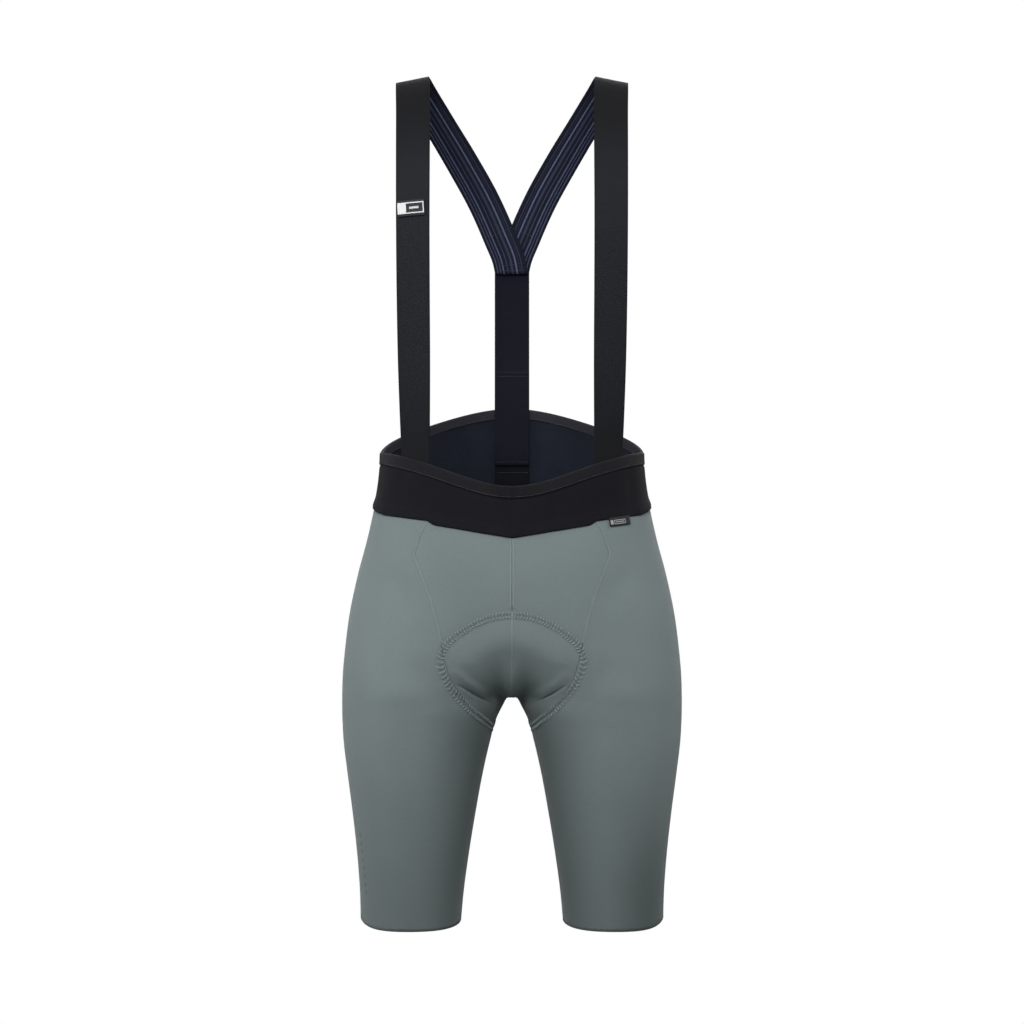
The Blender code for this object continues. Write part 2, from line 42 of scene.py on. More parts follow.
# The camera stands level with the middle of the garment, three metres in front of it, with a
# long lens that takes in the whole of it from the shoulders to the hems.
CAMERA_PLACE = (0.0, -3.0, -0.457)
LENS, SENSOR = 100.446, 36.0  # millimetres
camera_data = bpy.data.cameras.new("front_view")
camera_data.lens, camera_data.sensor_width = LENS, SENSOR
camera_data.clip_end = 60.0
camera = bpy.data.objects.new("front_view", camera_data)
camera.location = CAMERA_PLACE
camera.rotation_euler = (math.radians(90), 0.0, 0.0)
scene.collection.objects.link(camera)
scene.camera = camera


# The studio: a round white floor that curves up into a round white wall, a white sky that is
# stronger from above, and soft boxes to both sides, in front, above and behind. The floor and
# wall only close off the view; the light on the cloth comes from the sky and the boxes.
FLOOR, FLOOR_RADIUS, COVE, WALL_TOP = -1.01, 4.4, 1.2, 4.0
MIDDLE_HOLE = 0.00001  # too small to be seen
SKY_ABOVE, SKY_BELOW = 0.30, 0.08
MIDDLE_OF_GARMENT = (0.0, 0.0, -0.5)
SOFT_BOXES = (
    # name, place, width, height, watts
    ("left_box", (-2.5, -0.7, 0.5), 1.2, 1.4, 26),
    ("right_box", (2.5, -0.7, 1.2), 1.2, 1.2, 23),
    ("front_box", (-0.2, -2.2, 0.6), 1.5, 1.0, 35),
    ("top_box", (0.0, 0.2, 2.2), 2.0, 2.0, 2),
    ("back_box", (0.6, 3.2, 1.0), 2.4, 1.8, 40),
)


def arithmetic(operation, swapped=False):
    """A method for Wire that puts a Math node between it and another wire or a number."""
    def method(self, other):
        return self.math(operation, *((other, self) if swapped else (self, other)))
    return method


class Wire:
    """An output in a node tree. Sums, products and powers of wires and numbers add Math nodes."""

    __add__ = __radd__ = arithmetic("ADD")
    __mul__ = __rmul__ = arithmetic("MULTIPLY")
    __sub__, __rsub__ = arithmetic("SUBTRACT"), arithmetic("SUBTRACT", swapped=True)
    __truediv__, __pow__ = arithmetic("DIVIDE"), arithmetic("POWER")

    def __init__(self, tree, socket=None):
        self.tree, self.socket = tree, socket

    def make(self, kind, settings=(), inputs=(), out=0):
        """Adds a node. settings are set first, then its sockets, by name or number, get values or
        wires. Returns its output, by name or number, as a wire."""
        node = self.tree.nodes.new("ShaderNode" + kind)
        for name, value in dict(settings).items():
            setattr(node, name, value)
        for name, value in dict(inputs).items():
            if isinstance(value, Wire):
                self.tree.links.new(value.socket, node.inputs[name])
            else:
                node.inputs[name].default_value = value
        return Wire(self.tree, node.outputs[out])

    def math(self, operation, *values):
        return self.make("Math", {"operation": operation}, dict(enumerate(values)))

    def __abs__(self):
        return self.math("ABSOLUTE", self)

    def cosine(self, pitch=1.0):
        return self.math("COSINE", self / pitch * (2 * math.pi))

    def wave(self, pitch=1.0):
        """A cosine that goes between 0 and 1 and repeats with the pitch."""
        return self.cosine(pitch) * 0.5 + 0.5

    def fraction(self):
        return self.math("FRACT", self)

    def step(self, start, end, low=0.0, high=1.0):
        """Goes smoothly from low to high as this wire goes from start to end."""
        spread = {"From Min": start, "From Max": end, "To Min": low, "To Max": high, "Value": self}
        return self.make("MapRange", {"interpolation_type": "SMOOTHSTEP"}, spread)

    def hump(self, middle, half_width):
        """1 where this wire is at middle, down to 0 at half_width from it."""
        return abs(self - middle).step(0.0, half_width, 1.0, 0.0)

    def between(self, start, end, soft):
        """1 where this wire is from start to end, with soft edges."""
        return self.step(start - soft, start + soft) * self.step(end - soft, end + soft, 1.0, 0.0)

    def map(self, name="cloth"):
        """Across and along on one of a piece's maps."""
        return self.make("UVMap", {"uv_map": name}, (), "UV").split()[:2]

    def place(self):
        return self.make("TexCoord", (), (), "Object")

    def noise(self, scale, detail=2.0):
        settings = {"Vector": self.place(), "Scale": scale, "Detail": detail}
        return self.make("TexNoise", (), settings, "Fac")

    def mix(self, first, second):
        """The first colour where this wire is 0, the second where it is 1."""
        return self.make("Mix", {"data_type": "RGBA"}, {0: self, 6: first, 7: second}, 2)

    def split(self):
        node = self.tree.nodes.new("ShaderNodeSeparateXYZ")
        self.tree.links.new(self.socket, node.inputs[0])
        return [Wire(self.tree, output) for output in node.outputs]


def colour(red, green, blue):
    """A colour given as it looks on a screen, 0 to 255, as the linear light that shaders use."""
    light = [((v / 255 + 0.055) / 1.055) ** 2.4 if v > 10 else v / 255 / 12.92 for v in (red, green, blue)]
    return (*light, 1.0)


def soft_box(name, place, width, height, watts):
    data = bpy.data.lights.new(name, "AREA")
    data.shape, data.size, data.size_y, data.energy = "RECTANGLE", width, height, watts
    box = bpy.data.objects.new(name, data)
    box.location = place
    aim = Vector(MIDDLE_OF_GARMENT) - Vector(place)
    box.rotation_euler = aim.to_track_quat("-Z", "Y").to_euler()
    box.visible_camera = False
    scene.collection.objects.link(box)


def mesh_object(name, points, faces, finishes):
    mesh = bpy.data.meshes.new(name)
    mesh.from_pydata(points.reshape(-1, 3).tolist(), [], faces)
    for finish in finishes:
        mesh.materials.append(finish)
    mesh.shade_smooth()
    made = bpy.data.objects.new(name, mesh)
    scene.collection.objects.link(made)
    return made


def grid_piece(name, points, finishes, maps=None, ring=False, caps=False):
    """A mesh on a grid of points. Rows go up and columns to the wearer's left as seen from the
    front, so that its faces look outwards. With ring, the last column joins the first, and with
    caps each end is closed. A map has a row and a column of pairs for each point, and one column
    more on a ring, and becomes a UV map."""
    rows, columns = points.shape[:2]
    r, c = np.meshgrid(np.arange(rows - 1), np.arange(columns if ring else columns - 1), indexing="ij")
    a, b = r * columns + c, r * columns + (c + 1) % columns
    faces = np.stack([a, b, b + columns, a + columns], axis=-1).reshape(-1, 4).tolist()
    if caps:
        last = (rows - 1) * columns
        faces += [list(range(columns))[::-1], list(range(last, last + columns))]
    made = mesh_object(name, points, faces, finishes)
    for map_name, values in (maps or {}).items():
        around_face = [values[r, c], values[r, c + 1], values[r + 1, c + 1], values[r + 1, c]]
        corners = np.stack(around_face, axis=2).reshape(-1, 2)
        if caps:
            corners = np.concatenate([corners, values[0, :columns][::-1], values[-1, :columns]])
        layer = made.data.uv_layers.new(name=map_name)
        layer.data.foreach_set("uv", corners.astype(np.float32).ravel())
    return made


def floor_and_wall(turns=96):
    """A profile turned round the upright axis: out along the floor, a quarter circle up, the
    wall. Only its inner face shows, so the camera may look through it from outside."""
    turn = np.linspace(0, math.pi / 2, 14)
    out = np.concatenate([
        [MIDDLE_HOLE, FLOOR_RADIUS / 2], FLOOR_RADIUS + COVE * np.sin(turn), [FLOOR_RADIUS + COVE],
    ])[:, None]
    rise = np.concatenate([[FLOOR, FLOOR], FLOOR + COVE * (1 - np.cos(turn)), [WALL_TOP]])[:, None]
    around = -np.linspace(0, 2 * math.pi, turns + 1)[None, :-1]
    points = np.stack([out * np.cos(around), out * np.sin(around), rise + 0 * around], axis=-1)
    white = bpy.data.materials.new("white_floor")
    white.use_nodes = True
    tree = white.node_tree
    tree.nodes.clear()
    start = Wire(tree)
    glow = start.make("Emission", (), {"Color": (1.0, 1.0, 1.0, 1.0), "Strength": 1.0})
    clear = start.make("BsdfTransparent")
    behind = start.make("NewGeometry", (), (), "Backfacing")
    seen = start.make("MixShader", (), {0: behind, 1: glow, 2: clear})
    output = tree.nodes.new("ShaderNodeOutputMaterial")
    tree.links.new(seen.socket, output.inputs["Surface"])
    floor = grid_piece("floor", points, [white], ring=True)
    floor.visible_diffuse = floor.visible_glossy = floor.visible_shadow = False


world = bpy.data.worlds.new("sky")
world.use_nodes = True
scene.world = world
sky = Wire(world.node_tree)
up = sky.make("TexCoord", (), (), "Generated").split()[2]
strength = up.step(-0.6, 0.9, SKY_BELOW, SKY_ABOVE)
backdrop = world.node_tree.nodes["Background"]
backdrop.inputs["Color"].default_value = (1.0, 1.0, 1.0, 1.0)
world.node_tree.links.new(strength.socket, backdrop.inputs["Strength"])
scene.view_settings.view_transform = "Standard"
for box in SOFT_BOXES:
    soft_box(*box)
floor_and_wall()


# The jersey: two front panels and two leg panels of a fine sage knit that is cut smaller than the
# wearer and stretched over them. They are joined edge to edge by flat seams, and lie over the seat
# pad, which is sewn through them in a ring. Heights are from the crotch up, and z from the top of
# the shoulders.
CROTCH_DROP = 0.649  # from the top of the shoulders to the crotch
SEAM_GAP, CLOTH = 0.0003, 0.0012
FORM = np.array([  # height; one leg's outer and inner side; how deep in front and behind
    (-0.250, 0.1586, 0.0550, 0.060, 0.063),
    (-0.205, 0.1596, 0.0510, 0.064, 0.068),
    (-0.163, 0.1628, 0.0452, 0.069, 0.074),
    (-0.121, 0.1675, 0.0383, 0.075, 0.081),
    (-0.079, 0.1730, 0.0305, 0.082, 0.089),
    (-0.047, 0.1768, 0.0231, 0.087, 0.095),
    (-0.026, 0.1780, 0.0174, 0.090, 0.099),
    (-0.012, 0.1783, 0.0114, 0.092, 0.101),
    (0.000, 0.1783, 0.0075, 0.094, 0.104),
    (0.020, 0.1778, -0.0060, 0.097, 0.110),
    (0.050, 0.1752, -0.0340, 0.102, 0.119),
    (0.085, 0.1706, -0.0850, 0.106, 0.124),
    (0.125, 0.1622, -0.1622, 0.107, 0.121),
    (0.165, 0.1515, -0.1515, 0.105, 0.112),
    (0.200, 0.1438, -0.1438, 0.102, 0.104),
    (0.230, 0.1392, -0.1392, 0.100, 0.100),
    (0.260, 0.1378, -0.1378, 0.099, 0.098),
    (0.310, 0.1380, -0.1380, 0.099, 0.097),
])
LEG_ROUNDNESS = 2.15
HIP_ROUNDNESS, WAIST_ROUNDNESS, ROUNDNESS_TO = 2.9, 2.4, 0.13
CROTCH_BLEND = 0.030
TRUNK_FROM, TRUNK_TO = 0.0, 0.095
PANEL_SEAM = np.array([  # height, how far the seam is from the middle
    (-0.036, 0.0225),
    (-0.020, 0.0350),
    (0.000, 0.0500),
    (0.020, 0.0620),
    (0.042, 0.0690),
    (0.065, 0.0725),
    (0.104, 0.0830),
    (0.149, 0.1005),
    (0.172, 0.0930),
    (0.192, 0.0800),
])
FRONT_PANEL_END, POINT_FROM, POINT_UP = -0.034, -0.012, 0.2
BAND_LOW_FRONT = np.array([  # across, height
    (0.0000, 0.1670),
    (0.0790, 0.1800),
    (0.0860, 0.1845),
    (0.1200, 0.1887),
    (0.1310, 0.1902),
    (0.1385, 0.1930),
    (0.1443, 0.1975),
])
BAND_LOW_SIDE = 0.1975
SEAM_TOP_FRONT, SEAM_TOP_BACK = 0.185, 0.210  # how far up the middle seam is mapped
HEM_LEVEL, HEM_RISE_OUTSIDE, HEM_RISE_INSIDE = -0.2402, 0.0080, 0.0030
TRUNK_ROWS, LEG_ROWS, ROW_CROWDING = 96, 84, 1.4
FRONT_COLUMNS, LEG_COLUMNS, FRONT_CROWDING = 72, 196, 1.15

# The ring of stitching round the pad: place along the middle seam from the crotch, negative in
# front, and distance from it.
RING = np.array([
    (-0.1535, 0.0000),
    (-0.1515, 0.0170),
    (-0.1460, 0.0324),
    (-0.1372, 0.0470),
    (-0.1222, 0.0640),
    (-0.1095, 0.0688),
    (-0.0955, 0.0632),
    (-0.0735, 0.0500),
    (-0.0520, 0.0410),
    (-0.0300, 0.0370),
    (0.0000, 0.0360),
    (0.0300, 0.0400),
    (0.0700, 0.0560),
    (0.1100, 0.0740),
    (0.1450, 0.0790),
    (0.1700, 0.0660),
    (0.1860, 0.0400),
    (0.1905, 0.0190),
    (0.1920, 0.0000),
])
RING_WIDTH = 0.0086  # from the inner row of stitches to the outer one
RING_PITCH = 0.0031  # from one stitch to the next
RING_SUNK = 0.0006  # how deep the stitching pulls the cloth in
NEAR_RING = (0.105, -0.075, 0.135)  # half its room across, the room's lowest and highest height
PUFF, PUFF_FROM, PUFF_TO = 0.0030, -0.001, 0.030  # the pad's push, from and to so far inside the ring
GROOVE, GROOVE_WIDTH, GROOVE_FROM = 0.0005, 0.0030, 0.002  # the dip along the middle seam
KEEL, KEEL_WIDTH = 0.0095, 0.0105  # the ridge along it low in front and half its width
KEEL_FROM, KEEL_WHOLE, KEEL_FADING, KEEL_TO = 0.000, 0.016, 0.014, 0.050  # heights
THIGH_FACING, THIGH_NEAR = (0.35, 0.80), (0.012, 0.040)  # how sideways, how near the middle
THIGH_PUFF_LOST, THIGH_RING_LOST = 0.9, 0.7  # shares of the push and the pull lost there

# Soft creases, each along a bow through three places on the cloth, given as side (-1 front, 1
# back), distance to the wearer's left and height; then half its width, and its depth, which is
# less than 0 where it is a ridge.
CREASES = (
    (-1, (0.0550, 0.0160), (0.0400, 0.0050), (0.0190, -0.0060), 0.0013, 0.0017),
    (-1, (-0.0560, 0.0165), (-0.0400, 0.0060), (-0.0210, -0.0060), 0.0014, 0.0021),
    (-1, (0.0580, 0.0290), (0.0430, 0.0150), (0.0240, 0.0030), 0.0055, -0.0013),
    (-1, (-0.0610, 0.0330), (-0.0430, 0.0170), (-0.0250, 0.0040), 0.0050, -0.0017),
    (-1, (0.0360, 0.0420), (0.0290, 0.0240), (0.0205, 0.0050), 0.0080, 0.0007),
    (-1, (0.1310, 0.1350), (0.1120, 0.1190), (0.0960, 0.0900), 0.0130, 0.0011),
    (-1, (-0.1330, 0.1320), (-0.1130, 0.1140), (-0.1000, 0.0830), 0.0120, 0.0010),
    (-1, (0.1000, 0.0400), (0.0880, 0.0180), (0.0760, -0.0180), 0.0120, 0.0009),
    (-1, (-0.1040, 0.0430), (-0.0900, 0.0190), (-0.0800, -0.0120), 0.0130, 0.0010),
    (-1, (0.0560, -0.0250), (0.0520, -0.0620), (0.0600, -0.1050), 0.0110, 0.0008),
    (-1, (-0.0540, -0.0280), (-0.0530, -0.0560), (-0.0620, -0.0900), 0.0120, 0.0009),
    (1, (0.0350, 0.0100), (0.0700, -0.0040), (0.1150, 0.0030), 0.0085, 0.0022),
    (1, (-0.0380, 0.0080), (-0.0720, -0.0050), (-0.1080, 0.0000), 0.0080, 0.0020),
    (1, (0.0420, -0.0120), (0.0760, -0.0240), (0.1060, -0.0220), 0.0070, 0.0012),
    (1, (-0.0400, -0.0140), (-0.0700, -0.0260), (-0.0980, -0.0270), 0.0065, 0.0013),
    (1, (0.0180, 0.0960), (0.0300, 0.0700), (0.0520, 0.0480), 0.0090, 0.0010),
    (1, (-0.0150, 0.1000), (-0.0290, 0.0760), (-0.0480, 0.0560), 0.0085, 0.0009),
    (1, (0.0300, 0.1780), (0.0380, 0.1560), (0.0560, 0.1390), 0.0070, 0.0010),
    (1, (-0.0420, 0.1770), (-0.0500, 0.1600), (-0.0700, 0.1450), 0.0075, 0.0011),
    (1, (0.0950, 0.1700), (0.1020, 0.1500), (0.1120, 0.1350), 0.0080, 0.0008),
    (1, (-0.0700, -0.1500), (-0.0980, -0.1610), (-0.1250, -0.1570), 0.0080, 0.0007),
    (1, (0.0720, -0.1360), (0.1000, -0.1470), (0.1330, -0.1420), 0.0080, 0.0008),
)


def unit(vectors):
    return vectors / np.maximum(np.linalg.norm(vectors, axis=-1, keepdims=True), 1e-9)


def length_along(path):
    return np.concatenate([[0], np.cumsum(np.linalg.norm(np.diff(path, axis=0), axis=1))])


def smooth_columns(table, x):
    """A table's columns after the first, at x in the first, each on the smooth curve through its
    rows: a cubic between each two, with slopes from their neighbours."""
    if table[0, 0] > table[-1, 0]:
        table = table[::-1]
    key = table[:, 0]
    x = np.clip(x, key[0], key[-1])
    i = np.clip(np.searchsorted(key, x) - 1, 0, len(key) - 2)
    step = key[i + 1] - key[i]
    t = (x - key[i]) / step
    found = []
    for value in table.T[1:]:
        slope = np.gradient(value, key)
        ends = value[i] * (1 + 2 * t) * (1 - t) ** 2 + value[i + 1] * t**2 * (3 - 2 * t)
        lean = step * slope[i] * t * (1 - t) ** 2 - step * slope[i + 1] * t**2 * (1 - t)
        found.append(ends + lean)
    return found


def smoothstep(x, start, end):
    t = np.clip((x - start) / (end - start), 0, 1)
    return t * t * (3 - 2 * t)


def gauss(away, width):
    return np.exp(-((away / width) ** 2))


def oval(x, y, half_width, half_depth, roundness):
    """About how far a point is outside an oval: ((|x/a|^n + |y/b|^n)^(1/n) - 1) a."""
    across, along = np.abs(x / half_width), np.abs(y / half_depth)
    return ((across**roundness + along**roundness) ** (1 / roundness) - 1) * half_width


def form_at(height):
    """outer, inner, front, back, and the middle of the depth, at a height above the crotch."""
    outer, inner, front, back = smooth_columns(FORM, height)
    return outer, inner, front, back, (back - front) / 2


def form_field(x, y, height):
    """About how far a point is outside the worn form: two leg ovals that melt into each other,
    and above the crotch into one trunk oval."""
    outer, inner, front, back, mid = form_at(height)
    middle, half = (outer + inner) / 2, (outer - inner) / 2
    depth = (front + back) / 2
    left = oval(x - middle, y - mid, half, depth, LEG_ROUNDNESS)
    right = oval(x + middle, y - mid, half, depth, LEG_ROUNDNESS)
    near = np.maximum(CROTCH_BLEND - np.abs(left - right), 0) / CROTCH_BLEND
    legs = np.minimum(left, right) - near**2 * CROTCH_BLEND / 4
    roundness = HIP_ROUNDNESS + (WAIST_ROUNDNESS - HIP_ROUNDNESS) * smoothstep(height, 0, ROUNDNESS_TO)
    trunk = oval(x, y - mid, outer, depth, roundness)
    share = smoothstep(height, TRUNK_FROM, TRUNK_TO)
    return legs * (1 - share) + trunk * share


def reach(x, y, angle, height, furthest=0.35, halvings=30):
    """How far the form's surface is from a point inside it, in the direction of angle, found by
    halving. From a point off the middle it goes no further than the middle."""
    ahead = np.cos(angle)
    middle_way = np.where((x > 0) & (ahead < 0), -x / np.minimum(ahead, -1e-9), furthest)
    near, far = np.zeros_like(angle), np.minimum(middle_way, furthest)
    for _ in range(halvings):
        middle = (near + far) / 2
        inside = form_field(x + middle * ahead, y + middle * np.sin(angle), height) < 0
        near, far = np.where(inside, middle, near), np.where(inside, far, middle)
    return (near + far) / 2


def form_normal(points, step=1e-4):
    """The outward direction of the form at points on its surface: the slope of its field."""
    x, y, height = points[..., 0], points[..., 1], points[..., 2] + CROTCH_DROP
    slope = np.stack([
        form_field(x + step, y, height) - form_field(x - step, y, height),
        form_field(x, y + step, height) - form_field(x, y - step, height),
        form_field(x, y, height + step) - form_field(x, y, height - step),
    ], axis=-1)
    return unit(slope)


def trunk_point(angle, height):
    """A point of the trunk above the hips, from its direction round the middle and its height."""
    mid = form_at(height)[4]
    radius = reach(np.zeros_like(angle), mid, angle, height)
    return np.stack([radius * np.cos(angle), mid + radius * np.sin(angle), height - CROTCH_DROP], axis=-1)


def band_low(angle):
    """The height of the waistband's lower edge: a shallow V in front, with a step at the seams."""
    height = np.full_like(angle, BAND_LOW_SIDE)
    for _ in range(4):
        across = np.abs(trunk_point(angle, height)[..., 0])
        front = np.interp(across, BAND_LOW_FRONT[:, 0], BAND_LOW_FRONT[:, 1])
        height = np.where(np.sin(angle) < 0, front, BAND_LOW_SIDE)
    return height


def hem(angle):
    """The height of a leg's hem, from the direction round the leg: level in front and behind,
    with a soft rise at each side."""
    rise = np.where(np.cos(angle) > 0, HEM_RISE_OUTSIDE, HEM_RISE_INSIDE)
    return HEM_LEVEL + rise * np.cos(angle) ** 4


def middle_seam(side, top, samples=500):
    """The middle seam from the crotch up to a height: distance along it, y and height."""
    height = top * np.linspace(0, 1, samples) ** 2
    mid = form_at(height)[4]
    ahead = np.full(samples, side * math.pi / 2)
    y = mid + side * reach(np.zeros(samples), mid, ahead, height)
    y[0] = mid[0]
    return length_along(np.stack([y, height], axis=-1)), y, height


def rows_of_half():
    """The rows of one half of the shorts from hem to waist, each as its share of the leg below
    the crotch or, less than 0, of the trunk above it. They crowd together at the crotch."""
    leg = np.linspace(1, 0, LEG_ROWS + 1) ** ROW_CROWDING
    trunk = -np.linspace(0, 1, TRUNK_ROWS + 1)[1:] ** ROW_CROWDING
    return np.concatenate([leg, trunk])


def seam_turns(height):
    """The middle of a leg at each height, and the directions from it to the front and the back
    middle seam. Below the crotch both point straight across to the inseam."""
    outer, inner, _, _, mid = form_at(height)
    middle = np.maximum((outer + inner) / 2, 0)
    turns = []
    for side in (-1, 1):
        ahead = np.full_like(height, side * math.pi / 2)
        depth = np.where(height > 0, reach(np.zeros_like(height), mid, ahead, height), 0)
        turns.append(np.arctan2(side * depth, -middle))
    return middle, mid, turns


def half_points(rows, across):
    """Points of the wearer's left half. rows has one value for each row; across has a row of
    values from 0 at the inseam or front seam, round the outside, to 1 at the back."""
    shares = rows[:, None] + 0 * across
    up = np.clip(-shares, 0, 1)
    ends = []
    for side, top in ((-1, band_low(np.array([-math.pi / 2]))[0]), (1, BAND_LOW_SIDE)):
        along, _, height = middle_seam(side, top)
        ends.append(np.interp(up * along[-1], along, height))
    to_seam = np.cos(math.pi * across) ** 2
    end = np.where(across < 0.5, *ends)
    height = BAND_LOW_SIDE * up * (1 - to_seam) + end * to_seam
    turns = seam_turns(height)[2]
    angle = turns[0] + (turns[1] - turns[0]) * across
    waist = np.where(across < 0.5, ends[0], BAND_LOW_SIDE) * to_seam + BAND_LOW_SIDE * (1 - to_seam)
    height = height + (band_low(angle) - waist) * up**4
    height = np.where(shares > 0, shares * hem(angle), height)
    middle, mid, turns = seam_turns(height)
    angle = turns[0] + (turns[1] - turns[0]) * across
    radius = reach(middle, mid, angle, height)
    x = np.maximum(middle + radius * np.cos(angle), 0)
    return np.stack([x, mid + radius * np.sin(angle), height - CROTCH_DROP], axis=-1)


def panel_seam(rows, samples=161):
    """Where the seam between front and leg panel lies across each row of a half."""
    across = np.linspace(0, 0.5, samples)
    points = half_points(rows, np.tile(across, (len(rows), 1)))
    wanted = np.interp(points[..., 2] + CROTCH_DROP, PANEL_SEAM[:, 0], PANEL_SEAM[:, 1])
    past = points[..., 0] - wanted
    return np.array([np.interp(0, row, across) for row in past])


def even_seam(spacing=0.001):
    """The middle seam from the front over the crotch to the back in even steps: the distance
    from the crotch, y, height, and its direction and outward direction in that plane."""
    front, back = middle_seam(-1, SEAM_TOP_FRONT), middle_seam(1, SEAM_TOP_BACK)
    joined = [np.concatenate([way * f[:0:-1], b]) for way, f, b in zip((-1, 1, 1), front, back)]
    place = np.arange(joined[0][0], joined[0][-1], spacing)
    y, height = (np.interp(place, joined[0], values) for values in joined[1:])
    ahead = unit(np.stack([np.gradient(y), np.gradient(height)], axis=-1))
    out = np.stack([ahead[:, 1], -ahead[:, 0]], axis=-1)
    return place, y, height, ahead, out


seam_place, seam_y, seam_height, seam_ahead, seam_out = even_seam()


def from_middle_seam(points):
    """(place along the middle seam, distance from it) of points: the nearest place of the seam in
    the plane through the middle, and the root of x squared and the distance in that plane."""
    y, height = points[:, 1], points[:, 2] + CROTCH_DROP
    away = (y[:, None] - seam_y) ** 2 + (height[:, None] - seam_height) ** 2
    i = away.argmin(axis=1)
    dy, dz = y - seam_y[i], height - seam_height[i]
    forward = dy * seam_ahead[i, 0] + dz * seam_ahead[i, 1]
    aside = dy * seam_out[i, 0] + dz * seam_out[i, 1]
    return seam_place[i] + forward, np.hypot(points[:, 0], aside)


def at_middle_seam(place, distance, halvings=34):
    """The point of the form at a distance from a place on the middle seam: on the circle round
    that place, square to the seam, the angle from outside to inside is halved until it meets the
    form. A distance less than 0 is on the wearer's right."""
    shape = np.shape(place)
    place, distance = np.ravel(place), np.ravel(distance)
    values = (seam_y, seam_height, *seam_out.T)
    y, height, out_y, out_z = (np.interp(place, seam_place, value) for value in values)
    near, far = np.zeros_like(place), np.full_like(place, math.pi)
    radius = np.abs(distance)
    for _ in range(halvings):
        turn = (near + far) / 2
        x = radius * np.sin(turn)
        lift = radius * np.cos(turn)
        outside = form_field(x, y + lift * out_y, height + lift * out_z) > 0
        near, far = np.where(outside, turn, near), np.where(outside, far, turn)
    z = height + lift * out_z - CROTCH_DROP
    return np.stack([x * np.sign(distance), y + lift * out_y, z], axis=-1).reshape(*shape, 3)


def even_ring(spacing=0.0005):
    """The ring in even steps: distance along it from the front, place, distance from the seam."""
    keyed = np.column_stack([length_along(RING), RING])
    place, wide = smooth_columns(keyed, np.linspace(0, keyed[-1, 0], 4000))
    wide = np.maximum(wide, 0)
    along = length_along(np.stack([place, wide], axis=-1))
    even = np.arange(0, along[-1], spacing)
    return even, np.interp(even, along, place), np.interp(even, along, wide)


ring_along, ring_place, ring_wide = even_ring()
ring_ahead = unit(np.stack([np.gradient(ring_place), np.gradient(ring_wide)], axis=-1))
ring_out = np.stack([-ring_ahead[:, 1], ring_ahead[:, 0]], axis=-1)


def ring_map(points):
    """(distance along the ring, how far inside it) of points near it, from the nearest sample."""
    place, wide = from_middle_seam(points)
    away = (place[:, None] - ring_place) ** 2 + (wide[:, None] - ring_wide) ** 2
    i = away.argmin(axis=1)
    gap = np.sqrt(away[np.arange(len(i)), i])
    within = wide < np.interp(place, ring_place, ring_wide, left=-1, right=-1)
    return ring_along[i], np.where(within, gap, -gap)


def at_ring(along, inside):
    """The point of the form at a distance along the ring and a distance inside it."""
    values = (ring_place, ring_wide, *ring_out.T)
    place, wide, out_s, out_w = (np.interp(along, ring_along, value) for value in values)
    return at_middle_seam(place - inside * out_s, wide - inside * out_w)


def ring_coordinates(points, at_once=6000):
    """The ring's map at every point of an array, with -1 for the inside distance far from it. It
    is worked out for so many points at once."""
    flat = points.reshape(-1, 3)
    height = flat[:, 2] + CROTCH_DROP
    half_width, low, high = NEAR_RING
    near = (np.abs(flat[:, 0]) < half_width) & (height > low) & (height < high)
    along, inside = np.zeros(len(flat)), np.full(len(flat), -1.0)
    chosen = np.flatnonzero(near)
    for part in np.array_split(chosen, max(1, len(chosen) // at_once)):
        along[part], inside[part] = ring_map(flat[part])
    return along.reshape(points.shape[:-1]), inside.reshape(points.shape[:-1])


def crease_lines():
    """Each crease as places along the bow through its three places on the form, with its width
    and its depth, which swells and dies away along it."""
    lines = []
    t = np.linspace(0, 1, 41)[:, None]
    for side, start, middle, end, half_width, depth in CREASES:
        corners = []
        for x, height in (start, middle, end):
            x, height = np.array([x]), np.array([height])
            mid = form_at(height)[4]
            deep = reach(np.abs(x), mid, np.array([side * math.pi / 2]), height)
            corners.append(np.array([x[0], mid[0] + side * deep[0], height[0] - CROTCH_DROP]))
        low, peak, high = corners
        steer = 2 * peak - (low + high) / 2
        line = low * (1 - t) ** 2 + steer * 2 * t * (1 - t) + high * t**2
        lines.append((line, half_width, depth * np.sin(math.pi * np.linspace(0, 1, 41)) ** 0.6))
    return lines


crease_table = crease_lines()


